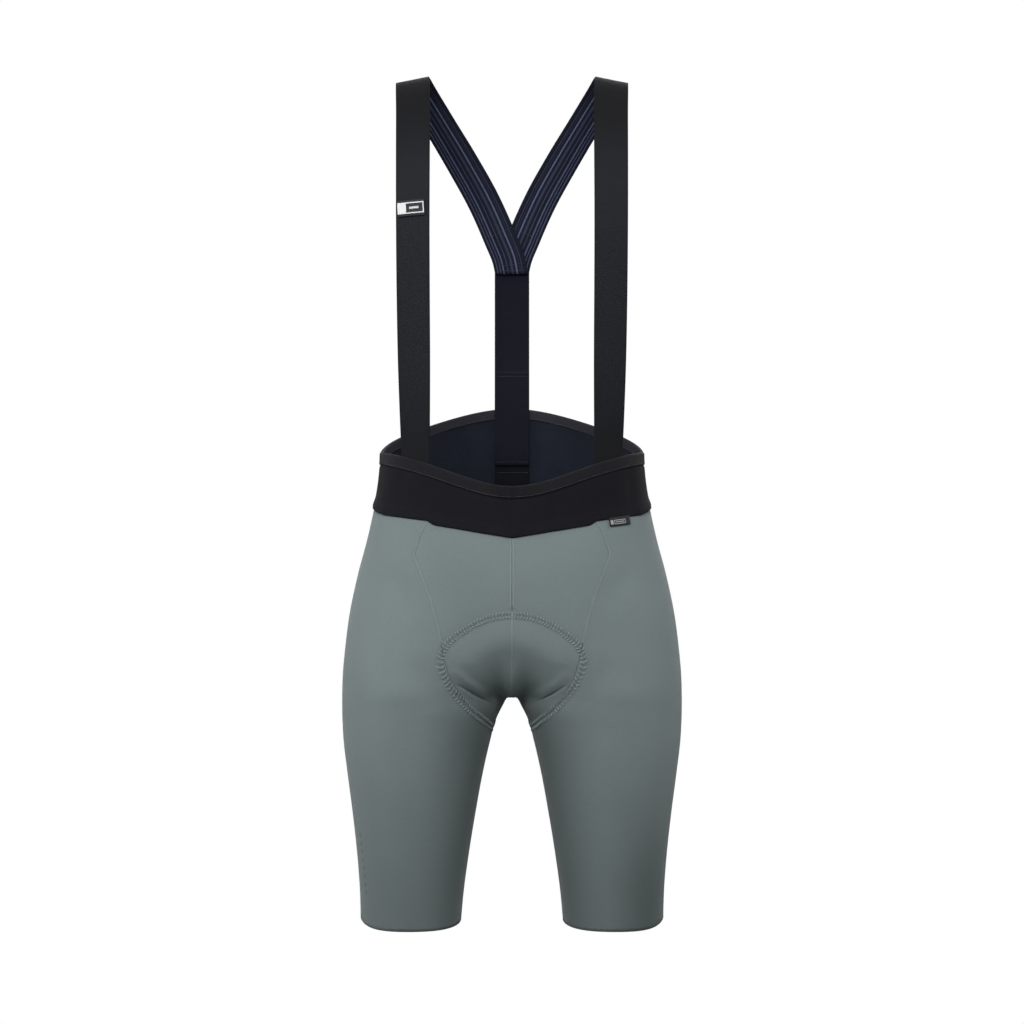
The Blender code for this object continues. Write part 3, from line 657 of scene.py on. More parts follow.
def relief(points, inside):
    """How far the cloth stands out from the form: the pad's push inside its ring, a soft ridge
    along the middle seam low in front, the pull of the stitching, and the creases, each a Gauss
    curve across its line."""
    normal = form_normal(points)
    x = points[..., 0]
    facing = smoothstep(np.abs(normal[..., 0]), *THIGH_FACING)
    inner_thigh = facing * (1 - smoothstep(np.abs(x), *THIGH_NEAR))
    push = PUFF * smoothstep(inside, PUFF_FROM, PUFF_TO) * (1 - THIGH_PUFF_LOST * inner_thigh)
    push -= GROOVE * gauss(x, GROOVE_WIDTH) * smoothstep(inside, GROOVE_FROM, PUFF_TO)
    height = points[..., 2] + CROTCH_DROP
    low_in_front = smoothstep(height, KEEL_FROM, KEEL_WHOLE) * smoothstep(height, KEEL_TO, KEEL_FADING)
    low_in_front = low_in_front * smoothstep(points[..., 1], 0.0, -0.02)
    push += KEEL * gauss(x, KEEL_WIDTH) * low_in_front
    sunk = RING_SUNK * gauss(inside + RING_WIDTH / 2, RING_WIDTH * 0.55)
    total = push - sunk * (1 - THIGH_RING_LOST * inner_thigh)
    flat = points.reshape(-1, 3)
    for line, half_width, depth in crease_table:
        low, high = line.min(axis=0) - 3 * half_width, line.max(axis=0) + 3 * half_width
        chosen = np.flatnonzero(np.all((flat > low) & (flat < high), axis=1))
        away = np.linalg.norm(flat[chosen, None, :] - line[None, :, :], axis=-1)
        i = away.argmin(axis=1)
        total.reshape(-1)[chosen] -= depth[i] * gauss(away[np.arange(len(i)), i], half_width)
    return total


def laid_out(points, lift=0.0):
    """Points of the form moved out to the cloth's outside, and lift past it."""
    inside = ring_coordinates(points)[1]
    return points + form_normal(points) * (relief(points, inside) + lift)[..., None]


def mirrored(points):
    """The same grid on the wearer's right, with its faces still outwards."""
    return points[:, ::-1] * np.array([-1.0, 1.0, 1.0])


def drawn_in(points, sides):
    """Points with the named edges drawn in by half a seam gap, towards their neighbours."""
    moved = points.copy()
    edges = {"left": (0, 1), "right": (-1, -2), "bottom": (0, 1), "top": (-1, -2)}
    for side in sides:
        edge, inner = edges[side]
        grid = moved.swapaxes(0, 1) if side in ("left", "right") else moved
        grid[edge] += unit(grid[inner] - grid[edge]) * SEAM_GAP / 2
    return moved


def walled(made, thickness, offset=-1.0, inside_finish=0):
    """Gives a sheet its thickness, inwards unless offset says otherwise."""
    wall = made.modifiers.new("thickness", "SOLIDIFY")
    wall.thickness, wall.offset = thickness, offset
    wall.material_offset = inside_finish
    return made


def cloth_map(points):
    """Each point's place on the cloth in metres: the way round its row from the row's middle
    column, and its z."""
    along = np.array([length_along(row) for row in points])
    along -= along[:, points.shape[1] // 2][:, None]
    return np.stack([along, points[..., 2]], axis=-1)


def new_material(name, **sockets):
    """A material with its shader's plain sockets set. Returns it and a first wire."""
    made = bpy.data.materials.new(name)
    made.use_nodes = True
    shader = made.node_tree.nodes["Principled BSDF"]
    for socket, value in sockets.items():
        shader.inputs[socket.replace("_", " ")].default_value = value
    return made, Wire(made.node_tree)


def painted(made, base, height, strength):
    """The material with its colour, and with a relief given as heights in metres."""
    relief_sockets = {"Height": height, "Distance": 1.0, "Strength": strength}
    tilted = base.make("Bump", (), relief_sockets, "Normal")
    shader = made.node_tree.nodes["Principled BSDF"]
    for socket, wire in (("Base Color", base), ("Normal", tilted)):
        made.node_tree.links.new(wire.socket, shader.inputs[socket])
    return made


def knit(across, along, wale, course):
    """The height of a plain knit, 0 to 1: columns of V-shaped loops, wale apart, whose arms lean
    down to the middle of the column, course apart."""
    to_side = abs((across / wale).fraction() * 2 - 1)
    return (along / course + to_side * 0.5).wave() * (1 - to_side**4)


DOT_PITCH, DOT_RADIUS, DOT_DEPTH = 0.0085, 0.0021, -0.036  # DOT_DEPTH is the column's y
DOTS_START, DOTS_LOW, DOTS_TOP_RIGHT, DOTS_TOP_LEFT = -0.8560, -0.8564, -0.7885, -0.8310
LEG_OUTSIDE = (0.090, 0.100)


def jersey_material():
    """Sage knit with a soft sheen, a faint mottle, ripples between the ring's stitches with painted
    shade in their hollows, less of it near the top, and, on each leg's outer side, a row of plain
    dots a shade darker than the cloth. Painted shade makes it a little darker down the legs, along
    their inner sides and low on the outside of the wearer's left leg."""
    made, wire = new_material(
        "sage_jersey", Roughness=0.62, Sheen_Weight=0.35, Sheen_Roughness=0.45, Specular_IOR_Level=0.35,
        Sheen_Tint=(0.86, 0.95, 0.95, 1.0),
    )
    along, inside = wire.map("ring")
    x, y, z = wire.place().split()
    loops = knit(*wire.map(), 0.0009, 0.0007)
    mottle, drift = wire.noise(900.0), wire.noise(9.0)
    in_ring = (inside + RING_WIDTH / 2).hump(0.0, RING_WIDTH * 0.75)
    ripple = along.wave(RING_PITCH)
    base = (mottle * 0.6 + drift * 0.4).step(0.3, 0.7).mix(colour(118, 131, 131), colour(128, 141, 141))
    base = (loops * 0.35).mix(base, colour(134, 147, 147))
    # Painted shade: the hollows between the ring's stitch ripples are mixed towards colour(92, 103, 104),
    # less near the top of the ring.
    base = (in_ring * (1 - ripple) * z.step(-0.61, -0.57, 0.3, 0.12)).mix(base, colour(92, 103, 104))
    # Painted shade: the cloth is mixed towards colour(40, 46, 47) down the legs, along the inner thighs and
    # low on the outside of the wearer's left leg.
    painted_shade_down_legs = z.step(-0.90, -0.68, 0.30, 0.0)
    inner_side = abs(x).step(0.03, 0.100, 0.40, 0.0) * z.step(-0.70, -0.64, 1.0, 0.0)
    painted_shade_left_leg_outside = x.step(0.095, 0.150, 0.0, 0.35) * z.step(-0.86, -0.70, 1.0, 0.0)
    base = (painted_shade_down_legs + inner_side + painted_shade_left_leg_outside).mix(base, colour(40, 46, 47))
    dot_row = ((z - DOTS_START) / DOT_PITCH).fraction() - 0.5
    dot = ((dot_row * DOT_PITCH) ** 2 + (y - DOT_DEPTH) ** 2) ** 0.5
    on_right = z.between(DOTS_LOW, DOTS_TOP_RIGHT, 0.0001) * (x * -1.0).step(*LEG_OUTSIDE)
    on_left = z.between(DOTS_LOW, DOTS_TOP_LEFT, 0.0001) * x.step(*LEG_OUTSIDE)
    dots = dot.step(DOT_RADIUS - 0.0002, DOT_RADIUS + 0.0002, 1.0, 0.0) * (on_right + on_left)
    base = (dots * 0.75).mix(base, colour(80, 90, 91))
    return painted(made, base, loops * 0.00012 + in_ring * ripple * 0.0005 + drift * 0.0004, 0.6)


sage_jersey = jersey_material()


def panel_grids():
    """Points of the wearer's left leg panel and front panel on the form, up to the waistband."""
    rows = rows_of_half()
    seam = panel_seam(rows)
    leg_only = rows * -HEM_LEVEL > -FRONT_PANEL_END
    # The front panel narrows to a point over the last stretch of its seam.
    seam = seam * smoothstep(rows * HEM_LEVEL, FRONT_PANEL_END, POINT_FROM) ** 0.6
    start = np.where(leg_only, 0, seam)[:, None]
    leg = half_points(rows, start + (1 - start) * np.linspace(0, 1, LEG_COLUMNS + 1))
    last = np.flatnonzero(leg_only)[-1]
    lowest = rows[last] + (rows[last + 1] - rows[last]) * POINT_UP
    front_rows = np.append(lowest, rows[~leg_only])
    front_end = np.append(seam[last + 1] * POINT_UP, seam[~leg_only])[:, None]
    front = half_points(front_rows, front_end * np.linspace(0, 1, FRONT_COLUMNS + 1) ** FRONT_CROWDING)
    return leg, front, int(last)


leg_grid, front_grid, last_leg_row = panel_grids()
PANEL_FLAT = {"leg": (0.500, 0.425, 0.71), "front": (0.098, 0.240, 0.66)}  # width, length, share filled
for side, turned in (("left", lambda grid: grid), ("right", mirrored)):
    for kind, grid in (("leg", leg_grid), ("front", front_grid)):
        edges = ("left", "right", "top") if kind == "leg" else ("left", "right", "top", "bottom")
        base = drawn_in(grid, edges)
        base[..., 0] = np.maximum(base[..., 0], SEAM_GAP / 2)
        base = turned(base)
        along, inside = ring_coordinates(base)
        cloth = base + form_normal(base) * relief(base, inside)[..., None]
        way = 1 if side == "left" else -1
        cloth[..., 0] = way * np.maximum(way * cloth[..., 0], SEAM_GAP / 2)
        maps = {"cloth": cloth_map(cloth), "ring": np.stack([along, inside], axis=-1)}
        panel = walled(grid_piece(f"jersey_{kind}_{side}", cloth, [sage_jersey], maps), CLOTH)
        width, length, share = PANEL_FLAT[kind]
        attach(panel, "root")
        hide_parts(f"{kind}_panel_{side}")


# The seams: flat seams with a thin ridge of thread along them, and beside the ridge a row of
# stitches on each side, in a sage a little paler than the cloth. The ring round the seat pad is
# sewn with two rows of slanting stitches that lean against each other like chevrons.
SEAM_RIDGE, SEAM_RIDGE_HEIGHT = 0.0014, 0.0005
STITCH, STITCH_GAP, STITCH_RADIUS = 0.0022, 0.0004, 0.00028
RING_ROWS = (  # a stitch's start and end in each row: how far inside the ring and along it
    (-0.0002, 0.0, -0.0046, 0.0021),
    (-0.0042, 0.0021, -0.0086, 0.0),
)
RING_STITCH_RADIUS = 0.00062
CENTRE_TWIN = 0.0011  # how far each of the centre seam's two ridges is from the middle
RING_TOP, RING_SIDE = 0.092, 0.055  # heights where the centre and the princess seams meet the ring


def flat_section(width, thickness, count=9, arc=4):
    """A strap's section as offsets across and out: along the outer face, round the edge, back
    along the inner face and round the other edge. Also how far across each point is, and 0 on
    the outer face, 1 on the inner one."""
    r = thickness / 2
    flat = np.linspace(-width / 2 + r, width / 2 - r, count)
    turn = np.linspace(math.pi / 2, -math.pi / 2, arc + 2)[1:-1]
    across = np.concatenate([flat, flat[-1] + r * np.cos(turn), flat[::-1], flat[0] - r * np.cos(turn)])
    out = np.concatenate([np.full(count, r), r * np.sin(turn), np.full(count, -r), -r * np.sin(turn)])
    return np.stack([across, out], axis=-1), across + width / 2, (1 - out / r) / 2


def swept(middle, across, out, section):
    """A section carried along a path: each point is the path's plus its offset across and out."""
    return middle[:, None] + across[:, None] * section[..., :1] + out[:, None] * section[..., 1:]


def sideways(path, out):
    """The direction to the side of a path, from the way it faces."""
    return unit(np.cross(np.gradient(path, axis=0), out))


def threads(name, rows, radius, finish, rings=5, sides=6):
    """Rows of stitches as one mesh, each row given as starts, ends and outward directions. A
    stitch is rings whose radius follows the root of a sine along it, arched outwards by the same
    sine, and comes to a point at both ends."""
    start, end, out = (np.concatenate(parts) for parts in zip(*rows))
    count = len(start)
    t = np.linspace(0, 1, rings + 2)
    swell = np.sin(math.pi * t)
    side = unit(np.cross(out, end - start))
    arch = out[:, None] * (radius * 0.6 * swell)[:, None]
    centre = start[:, None] + (end - start)[:, None] * t[:, None] + arch
    turn = np.arange(sides) * 2 * math.pi / sides
    spoke = side[:, None] * np.cos(turn)[:, None] + unit(out)[:, None] * np.sin(turn)[:, None]
    radii = (radius * np.sqrt(swell[1:-1]))[None, :, None, None]
    rim_points = centre[:, 1:-1, None] + spoke[:, None] * radii
    each = rings * sides + 2
    points = np.concatenate([rim_points.reshape(count, -1, 3), centre[:, :1], centre[:, -1:]], axis=1)
    r, c = np.meshgrid(np.arange(rings - 1), np.arange(sides), indexing="ij")
    a, b = (r * sides + c).ravel(), (r * sides + (c + 1) % sides).ravel()
    quads = np.stack([a, b, b + sides, a + sides], axis=-1)
    c = np.arange(sides)
    low = np.stack([(c + 1) % sides, c, np.full(sides, each - 2)], axis=-1)
    last = (rings - 1) * sides
    high = np.stack([last + c, last + (c + 1) % sides, np.full(sides, each - 1)], axis=-1)
    first = (np.arange(count) * each)[:, None, None]
    faces = (first + quads).reshape(-1, 4).tolist()
    faces += (first + np.concatenate([low, high])).reshape(-1, 3).tolist()
    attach(mesh_object(name, points, faces, [finish]), "root")


def running(path, out, aside=0.0):
    """A row of stitches along a path, at a distance to its side."""
    along = length_along(path)
    path = path + sideways(path, out) * aside
    begin = np.arange(STITCH_GAP, along[-1] - STITCH, STITCH + STITCH_GAP)

    def at(place, values):
        return np.stack([np.interp(place, along, column) for column in values.T], axis=-1)

    return at(begin, path), at(begin + STITCH, path), unit(at(begin, out))


def beside(line, out, aside):
    """Two rows of stitches, one on each side of a line."""
    return [running(line, out, -aside), running(line, out, aside)]


def ridge(name, line, across, out, finish):
    points = swept(line, across, out, seam_section)
    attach(grid_piece(name, points, [finish], ring=True, caps=True), "root")


def shaded(tone, share):
    return (*(v * share for v in tone[:3]), 1.0)


def thread_material(name, tone):
    """Twisted thread: bands of a slightly darker tone wind round it."""
    made, wire = new_material(name, Roughness=0.5, Sheen_Weight=0.2)
    settings = {"Vector": wire.place(), "Scale": 900.0}
    twist = wire.make("TexWave", {"bands_direction": "DIAGONAL"}, settings, "Fac")
    return painted(made, twist.mix(shaded(tone, 0.72), tone), twist * 0.0001, 0.5)


pale_sage_thread = thread_material("pale_sage_thread", colour(148, 162, 161))
seam_section = flat_section(SEAM_RIDGE, SEAM_RIDGE_HEIGHT, 3, 2)[0]
centre_line, princess_line = front_grid[LEG_ROWS - last_leg_row:, 0], front_grid[:, -1]
over_pad = centre_line[:, 2] + CROTCH_DROP < RING_TOP
seams = {
    "princess": princess_line[princess_line[:, 2] + CROTCH_DROP > RING_SIDE],
    "centre": centre_line[~over_pad],
    "pad_centre": centre_line[over_pad],
    "seat": leg_grid[LEG_ROWS:, -1],
    "inseam": leg_grid[: LEG_ROWS + 1, -1],
}
IN_THE_MIDDLE = ("centre", "pad_centre", "seat")
LEAST_STEP = 0.0004  # places of a seam that are nearer to each other are left out
SIDES = (("left", np.array([1.0, 1.0, 1.0])), ("right", np.array([-1.0, 1.0, 1.0])))
for name, path in seams.items():
    for side, mirror in SIDES[:1] if name in IN_THE_MIDDLE else SIDES:
        line = path * mirror
        line = line[np.append(True, np.diff(length_along(line)) > LEAST_STEP)]
        out = form_normal(line)
        line = laid_out(line, 0.00005)
        if name in IN_THE_MIDDLE:
            line[:, 0] = 0.0
            out = unit(out * np.array([0.0, 1.0, 1.0]))
        across = sideways(line, out)
        twins = {"_a": -CENTRE_TWIN, "_b": CENTRE_TWIN} if name == "centre" else {"": 0.0}
        for ending, aside in twins.items():
            ridge(f"{name}_seam_{side}{ending}", line + across * aside, across, out, pale_sage_thread)
        if name != "pad_centre":
            rows = beside(line + out * 0.0001, out, 0.0013)
            threads(f"{name}_stitches_{side}", rows, STITCH_RADIUS, pale_sage_thread)

ring_begin = np.arange(RING_PITCH / 2, ring_along[-1] - RING_PITCH / 2, RING_PITCH)
for side, mirror in SIDES:
    rows = []
    for inside_a, along_a, inside_b, along_b in RING_ROWS:
        start = at_ring(ring_begin + along_a, inside_a) * mirror
        end = at_ring(ring_begin + along_b, inside_b) * mirror
        rows.append((laid_out(start, 0.0002), laid_out(end, 0.0002), form_normal(start)))
    threads(f"pad_ring_stitches_{side}", rows, RING_STITCH_RADIUS, pale_sage_thread)


# The seat pad: a moulded foam cushion with a smooth face, sewn inside the jersey from low in
# front to the seat. It is thickest under the seat, thin at its edge, and has pressed channels
# down its length.
PAD_ROWS, PAD_ACROSS = 110, 41
PAD_CLEARANCE, PAD_EDGE, PAD_CROWN = 0.0042, 0.0014, 0.0052
PAD_INSET, PAD_FROM, PAD_TO, PAD_END = 0.003, 0.1875, -0.1565, 0.030
PAD_FRONT_SHARE, PAD_SEAT_FROM = 0.75, 0.09  # the front's share of the crown, where the seat starts
PAD_CHANNELS = ((0.0, 0.0014, 0.055), (0.42, 0.0012, 0.05), (-0.42, 0.0012, 0.05))  # share, depth, width
HOLE_PITCH = 0.004


def pad_points():
    """Each row crosses the middle seam at its place. Its outer face keeps a distance inside the
    cloth; the inner one is deeper by an edge and a crown that falls off as a root to the sides
    and ends, less the channels."""
    place = np.linspace(PAD_FROM, PAD_TO, PAD_ROWS)[:, None]
    share = np.linspace(-1, 1, PAD_ACROSS)[None, :]
    wide = np.maximum(np.interp(place, ring_place, ring_wide) - PAD_INSET, 0.003)
    on_form = at_middle_seam(place + 0 * share, share * wide)
    normal = form_normal(on_form)
    ends = smoothstep(place, PAD_TO, PAD_TO + PAD_END)
    ends = ends * (1 - smoothstep(place, PAD_FROM - PAD_END, PAD_FROM))
    seat = PAD_FRONT_SHARE + (1 - PAD_FRONT_SHARE) * smoothstep(place, 0.0, PAD_SEAT_FROM)
    crown = (1 - np.abs(share) ** 2.5) ** 0.5 * ends * seat
    depth = PAD_EDGE + PAD_CROWN * crown
    for middle, deep, spread in PAD_CHANNELS:
        depth -= deep * crown * gauss(share - middle, spread)
    outer = on_form - normal * PAD_CLEARANCE
    inner = on_form - normal * (PAD_CLEARANCE + depth)[..., None]
    across = share * wide
    across = np.concatenate([across, across[:, ::-1], across[:, :1]], axis=1)
    maps = np.stack([across, place + 0 * across], axis=-1)
    return np.concatenate([outer, inner[:, ::-1]], axis=1), maps


def pad_material():
    """A soft smooth knit face with rows of fine pressed holes."""
    made, wire = new_material("pad_foam", Roughness=0.8, Sheen_Weight=0.3)
    u, v = wire.map()
    hole = (((u / HOLE_PITCH).fraction() - 0.5) ** 2 + ((v / HOLE_PITCH).fraction() - 0.5) ** 2) ** 0.5
    holes = hole.step(0.12, 0.2, 1.0, 0.0)
    loops = knit(u, v, 0.0010, 0.0008)
    base = (loops * 0.4 + holes * 0.6).mix(colour(72, 74, 80), colour(44, 46, 52))
    return painted(made, base, loops * 0.00015 - holes * 0.0006, 0.7)


points, maps = pad_points()
seat_pad = grid_piece("seat_pad_cushion", points, [pad_material()], {"cloth": maps}, ring=True, caps=True)
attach(seat_pad, "root")
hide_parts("seat_pad")


# The waistband: a firm black knit in a low front part with a V-shaped lower edge and a high back
# part, joined at the sides and sewn over the jersey's upper edge. Its inside is navy.
BAND_CLOTH, BAND_PROUD, BAND_LAP, BAND_LIP = 0.0016, 0.0004, 0.0016, 0.0010
RIM_SIDE, RIM_FRONT, RIM_BACK = 0.2525, 0.2166, 0.3020
RIM_FRONT_POWER, RIM_BACK_POWER = 2.8, 1.25
BAND_ROWS, BAND_COLUMNS = 34, 200
BAND_BULGE, BULGE_UP, BULGE_SPREAD = 0.0006, 0.0050, 0.0050
BAND_HALF_WIDTH, FOLD_MIDDLE = 0.145, 0.22
LIP_FADES = (0.002, 0.013)  # from the lower edge
TUCK_GROWS, GATHERS_GROW = (-0.016, -0.0105), (-0.034, -0.012)  # from the upper edge
BAND_TUCK = 0.0006  # how far the binding presses the band in
BAND_FOLDS = (  # side, place across, lean, half-width, depth
    (-1, -0.112, 0.10, 0.0055, 0.0006),
    (-1, -0.061, -0.12, 0.0070, 0.0004),
    (-1, 0.048, 0.15, 0.0065, 0.0004),
    (-1, 0.121, -0.08, 0.0050, 0.0007),
    (1, -0.094, 0.22, 0.0080, 0.0009),
    (1, -0.043, -0.10, 0.0060, 0.0006),
    (1, 0.036, 0.14, 0.0065, 0.0007),
    (1, 0.101, -0.20, 0.0085, 0.0008),
)
GATHER, GATHER_PITCH, GATHER_SPREAD = 0.00045, 0.0036, 0.021


def rim(angle):
    """The height of the waistband's upper edge: a power of how much it faces front or back."""
    facing = np.abs(np.sin(angle))
    front = RIM_SIDE + (RIM_FRONT - RIM_SIDE) * facing**RIM_FRONT_POWER
    back = RIM_SIDE + (RIM_BACK - RIM_SIDE) * facing**RIM_BACK_POWER
    return np.where(np.sin(angle) < 0, front, back)


def gathers(points):
    """Small upright puckers at the middle of the front: a cosine under a Gauss curve."""
    x, y = points[..., 0], points[..., 1]
    wave = np.cos(2 * math.pi * (x + 0.2 * x**2 / GATHER_SPREAD) / GATHER_PITCH)
    return GATHER * wave * gauss(x, GATHER_SPREAD) * (y < 0)


def band_relief(points, low, top):
    """How far the band stands out: its lip over the jersey, its bulge at the sides, upright folds
    that lean a little, the gathers below the binding, and less where the binding presses it in."""
    height = points[..., 2] + CROTCH_DROP
    x, y = points[..., 0], points[..., 1]
    lip = BAND_LIP * (1 - smoothstep(height - low, *LIP_FADES))
    bulge = BAND_BULGE * gauss(height - low - BULGE_UP, BULGE_SPREAD) * (np.abs(x) / BAND_HALF_WIDTH) ** 6
    total = BAND_PROUD + lip + bulge - BAND_TUCK * smoothstep(height - top, *TUCK_GROWS)
    for side, place, lean, half_width, depth in BAND_FOLDS:
        away = x - place - lean * (height - FOLD_MIDDLE)
        total = total - depth * gauss(away, half_width) * (y * side > 0)
    return total + gathers(points) * smoothstep(height - top, *GATHERS_GROW)


def band_knit_material(name, tone, deep_tone):
    """A dense black knit: fine upright ribs crossed by courses, with scattered paler fibres."""
    made, wire = new_material(
        name, Roughness=0.75, Sheen_Weight=0.06, Sheen_Roughness=0.4, Specular_IOR_Level=0.16,
    )
    fibres, cloudy = wire.noise(1100.0), wire.noise(40.0)
    loops = knit(*wire.map(), 0.0012, 0.0009)
    share = loops * 0.45 + fibres.step(0.4, 0.75) * 0.4 + cloudy.step(0.3, 0.7) * 0.15
    height = loops * 0.0002 + fibres * 0.0001 + cloudy * 0.0002
    return painted(made, share.mix(deep_tone, tone), height, 0.7)


black_knit = band_knit_material("black_knit", colour(28, 28, 35), colour(15, 15, 21))
navy_lining = band_knit_material("navy_lining", colour(37, 43, 56), colour(24, 29, 40))
share = np.linspace(0, 1, BAND_ROWS)[:, None]
BAND_FLAT = {"front": (0.355, 0.068, 0.72), "back": (0.355, 0.110, 0.82)}  # as PANEL_FLAT
for side, turn in (("front", -math.pi), ("back", 0.0)):
    angle = np.linspace(turn, turn + math.pi, BAND_COLUMNS)
    low, top = band_low(angle)[None, :] - BAND_LAP, rim(angle)[None, :] - 0.0006
    base = trunk_point(angle[None, :] + 0 * share, low + (top - low) * share)
    base = drawn_in(base, ("left", "right"))
    cloth = base + form_normal(base) * band_relief(base, low, top)[..., None]
    maps = {"cloth": cloth_map(cloth)}
    band = grid_piece(f"waistband_{side}_knit", cloth, [black_knit, navy_lining], maps)
    walled(band, BAND_CLOTH, inside_finish=1)
    width, length, filled = BAND_FLAT[side]
    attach(band, "root")
    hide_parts(f"waistband_{side}")
    under = "front" if side == "front" else "leg"

# The side seams of the band: a ridge of black thread with a row of stitches on each side.
black_thread = thread_material("black_thread", colour(40, 40, 46))
height = np.linspace(BAND_LOW_SIDE + 0.001, RIM_SIDE - 0.0125, 24)
for side, turn in (("left", 0.0), ("right", math.pi)):
    base = trunk_point(np.full_like(height, turn), height)
    out = form_normal(base)
    line = base + out * (band_relief(base, BAND_LOW_SIDE - BAND_LAP, RIM_SIDE) + 0.0001)[:, None]
    ridge(f"band_side_seam_{side}", line, sideways(line, out), out, black_thread)
    threads(f"band_side_stitches_{side}", beside(line, out, 0.0014), STITCH_RADIUS, black_thread)


# The binding: a ribbed black strip folded over the waistband's upper edge all the way round and
# sewn through near both of its lower edges. It is drawn up at the middle of the front.
BINDING_CLOTH, BINDING_DEPTH, BINDING_INSIDE = 0.0008, 0.0108, 0.85
FOLD_OUT = BAND_PROUD - BAND_TUCK + BINDING_CLOTH / 2 + 0.0002
FOLD_IN = BAND_PROUD - BAND_TUCK - BAND_CLOTH - BINDING_CLOTH / 2 - 0.0002
BINDING_COLUMNS = 420


def binding_fold():
    """The strip's section as rises and distances out: up outside, half a turn over the edge,
    and down inside a little less far."""
    turn = np.linspace(0, math.pi, 9)
    middle, half = (FOLD_OUT + FOLD_IN) / 2, (FOLD_OUT - FOLD_IN) / 2
    up_outside = np.linspace(-BINDING_DEPTH, 0.0, 9)[:-1]
    down_inside = np.linspace(0.0, -BINDING_DEPTH * BINDING_INSIDE, 8)[1:]
    rise = np.concatenate([up_outside, half * np.sin(turn), down_inside])
    out = np.concatenate([np.full(8, FOLD_OUT), middle + half * np.cos(turn), np.full(7, FOLD_IN)])
    return rise, out


def binding_point(angle, rise, out):
    """A place on the strip, with the gathers fading out past the fold."""
    base = trunk_point(angle, rim(angle) + rise)
    return base + form_normal(base) * (out + gathers(base) * (out > 0))[..., None]


def ribbed_material():
    """Fine upright ribs, a little paler on their crests, with painted shade where they are gathered
    at the middle of the front, and painted light that makes the back half paler.
    """
    made, wire = new_material(
        "ribbed_binding", Roughness=0.74, Sheen_Weight=0.10, Sheen_Roughness=0.4, Specular_IOR_Level=0.18,
    )
    x, y, _ = wire.place().split()
    rib = wire.map()[0].wave(0.0014)
    fibres = wire.noise(1300.0)
    # Painted shade: the gathered middle of the front is mixed towards colour(16, 16, 20).
    painted_gather_shade = abs(x).step(0.004, 0.04, 1.0, 0.0) * y.step(-0.02, 0.0, 1.0, 0.0)
    tone = (rib * 0.6 + fibres * 0.4).mix(colour(20, 19, 23), colour(33, 31, 37))
    # Painted light: the back half of the binding is mixed towards a paler colour(58, 57, 66).
    tone = (y.step(0.0, 0.04) * 0.6).mix(tone, colour(58, 57, 66))
    tone = (painted_gather_shade * 0.5).mix(tone, colour(16, 16, 20))
    return painted(made, tone, rib * 0.0003 + fibres * 0.0001, 0.8)


def grid_map(across, along):
    """A map for a grid whose columns have the values across, and its rows the values along."""
    return np.stack(np.broadcast_arrays(across[None, :], along[:, None]), axis=-1)


rise, out = binding_fold()
angle = np.linspace(-math.pi, math.pi, BINDING_COLUMNS + 1)[None, :-1]
points = binding_point(angle + 0 * rise[:, None], rise[:, None], out[:, None])
strip_along = length_along(np.concatenate([points[0], points[0, :1]]))
maps = grid_map(strip_along, length_along(np.stack([rise, out], axis=-1)))
strip = grid_piece("waist_binding_strip", points, [ribbed_material()], {"cloth": maps}, ring=True)
walled(strip, BINDING_CLOTH, 0.0)
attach(strip, "root")
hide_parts("waist_binding")

# Its two rows of stitching, outside and inside.
binding_thread = thread_material("binding_thread", colour(56, 54, 60))
angle = np.linspace(-math.pi, math.pi, BINDING_COLUMNS + 1)
for name, rise_at, out_at, facing in (
    ("outside", -BINDING_DEPTH + 0.0012, FOLD_OUT + BINDING_CLOTH / 2, 1.0),
    ("inside", -BINDING_DEPTH * BINDING_INSIDE + 0.0012, FOLD_IN - BINDING_CLOTH / 2, -1.0),
):
    line = binding_point(angle, rise_at + 0 * angle, out_at + 0 * angle)
    normal = form_normal(line) * facing
    threads(f"binding_stitches_{name}", [running(line, normal)], STITCH_RADIUS, binding_thread)


# The shoulder straps: flat black elastic webbing, sewn inside the front of the waistband, over
# each shoulder and across each other into the back strap. The side against the body is navy with
# paler stripes along it.
STRAP_CLOTH, STRAP_WIDTH, STRAP_ROWS = 0.0015, 0.0355, 230
STRAP_PATH = np.array([  # x, y, z, tilt and yaw in degrees, bow
    (0.0988, -0.0716, -0.448, 0.0, 34.0, 0.0016),
    (0.0988, -0.0700, -0.425, 0.0, 34.0, 0.0016),
    (0.0989, -0.0703, -0.400, 0.0, 33.5, 0.0016),
    (0.0994, -0.0760, -0.360, 0.0, 28.0, 0.0008),
    (0.1000, -0.0865, -0.300, 0.0, 20.0, 0.0002),
    (0.1005, -0.0955, -0.230, 0.0, 16.0, 0.0),
    (0.1008, -0.0985, -0.160, 0.0, 14.0, 0.0),
    (0.1010, -0.0900, -0.095, 0.0, 11.0, 0.0),
    (0.1015, -0.0700, -0.045, 2.0, 7.0, 0.0),
    (0.1030, -0.0370, -0.012, 8.0, 3.0, 0.0),
    (0.1037, 0.0000, -0.0055, 14.5, -2.0, 0.0),
    (0.0962, 0.0370, -0.0145, 23.0, -12.0, 0.0),
    (0.0765, 0.0690, -0.0435, 29.5, -16.0, 0.0),
    (0.0530, 0.0880, -0.081, 31.5, -9.0, 0.0),
    (0.0315, 0.0960, -0.119, 31.0, -4.0, 0.0),
    (0.0130, 0.0990, -0.160, 23.0, -1.0, 0.0),
    (0.0035, 0.1000, -0.184, 12.0, 0.0, 0.0),
    (0.0005, 0.1004, -0.199, 0.0, 0.0, 0.0),
])
CROSSING, CROSSING_FROM, CROSSING_TO = 0.0010, -0.09, -0.14
STRIPE_SPREAD = 0.65  # a stripe's colour fades out over so much of its width to each side
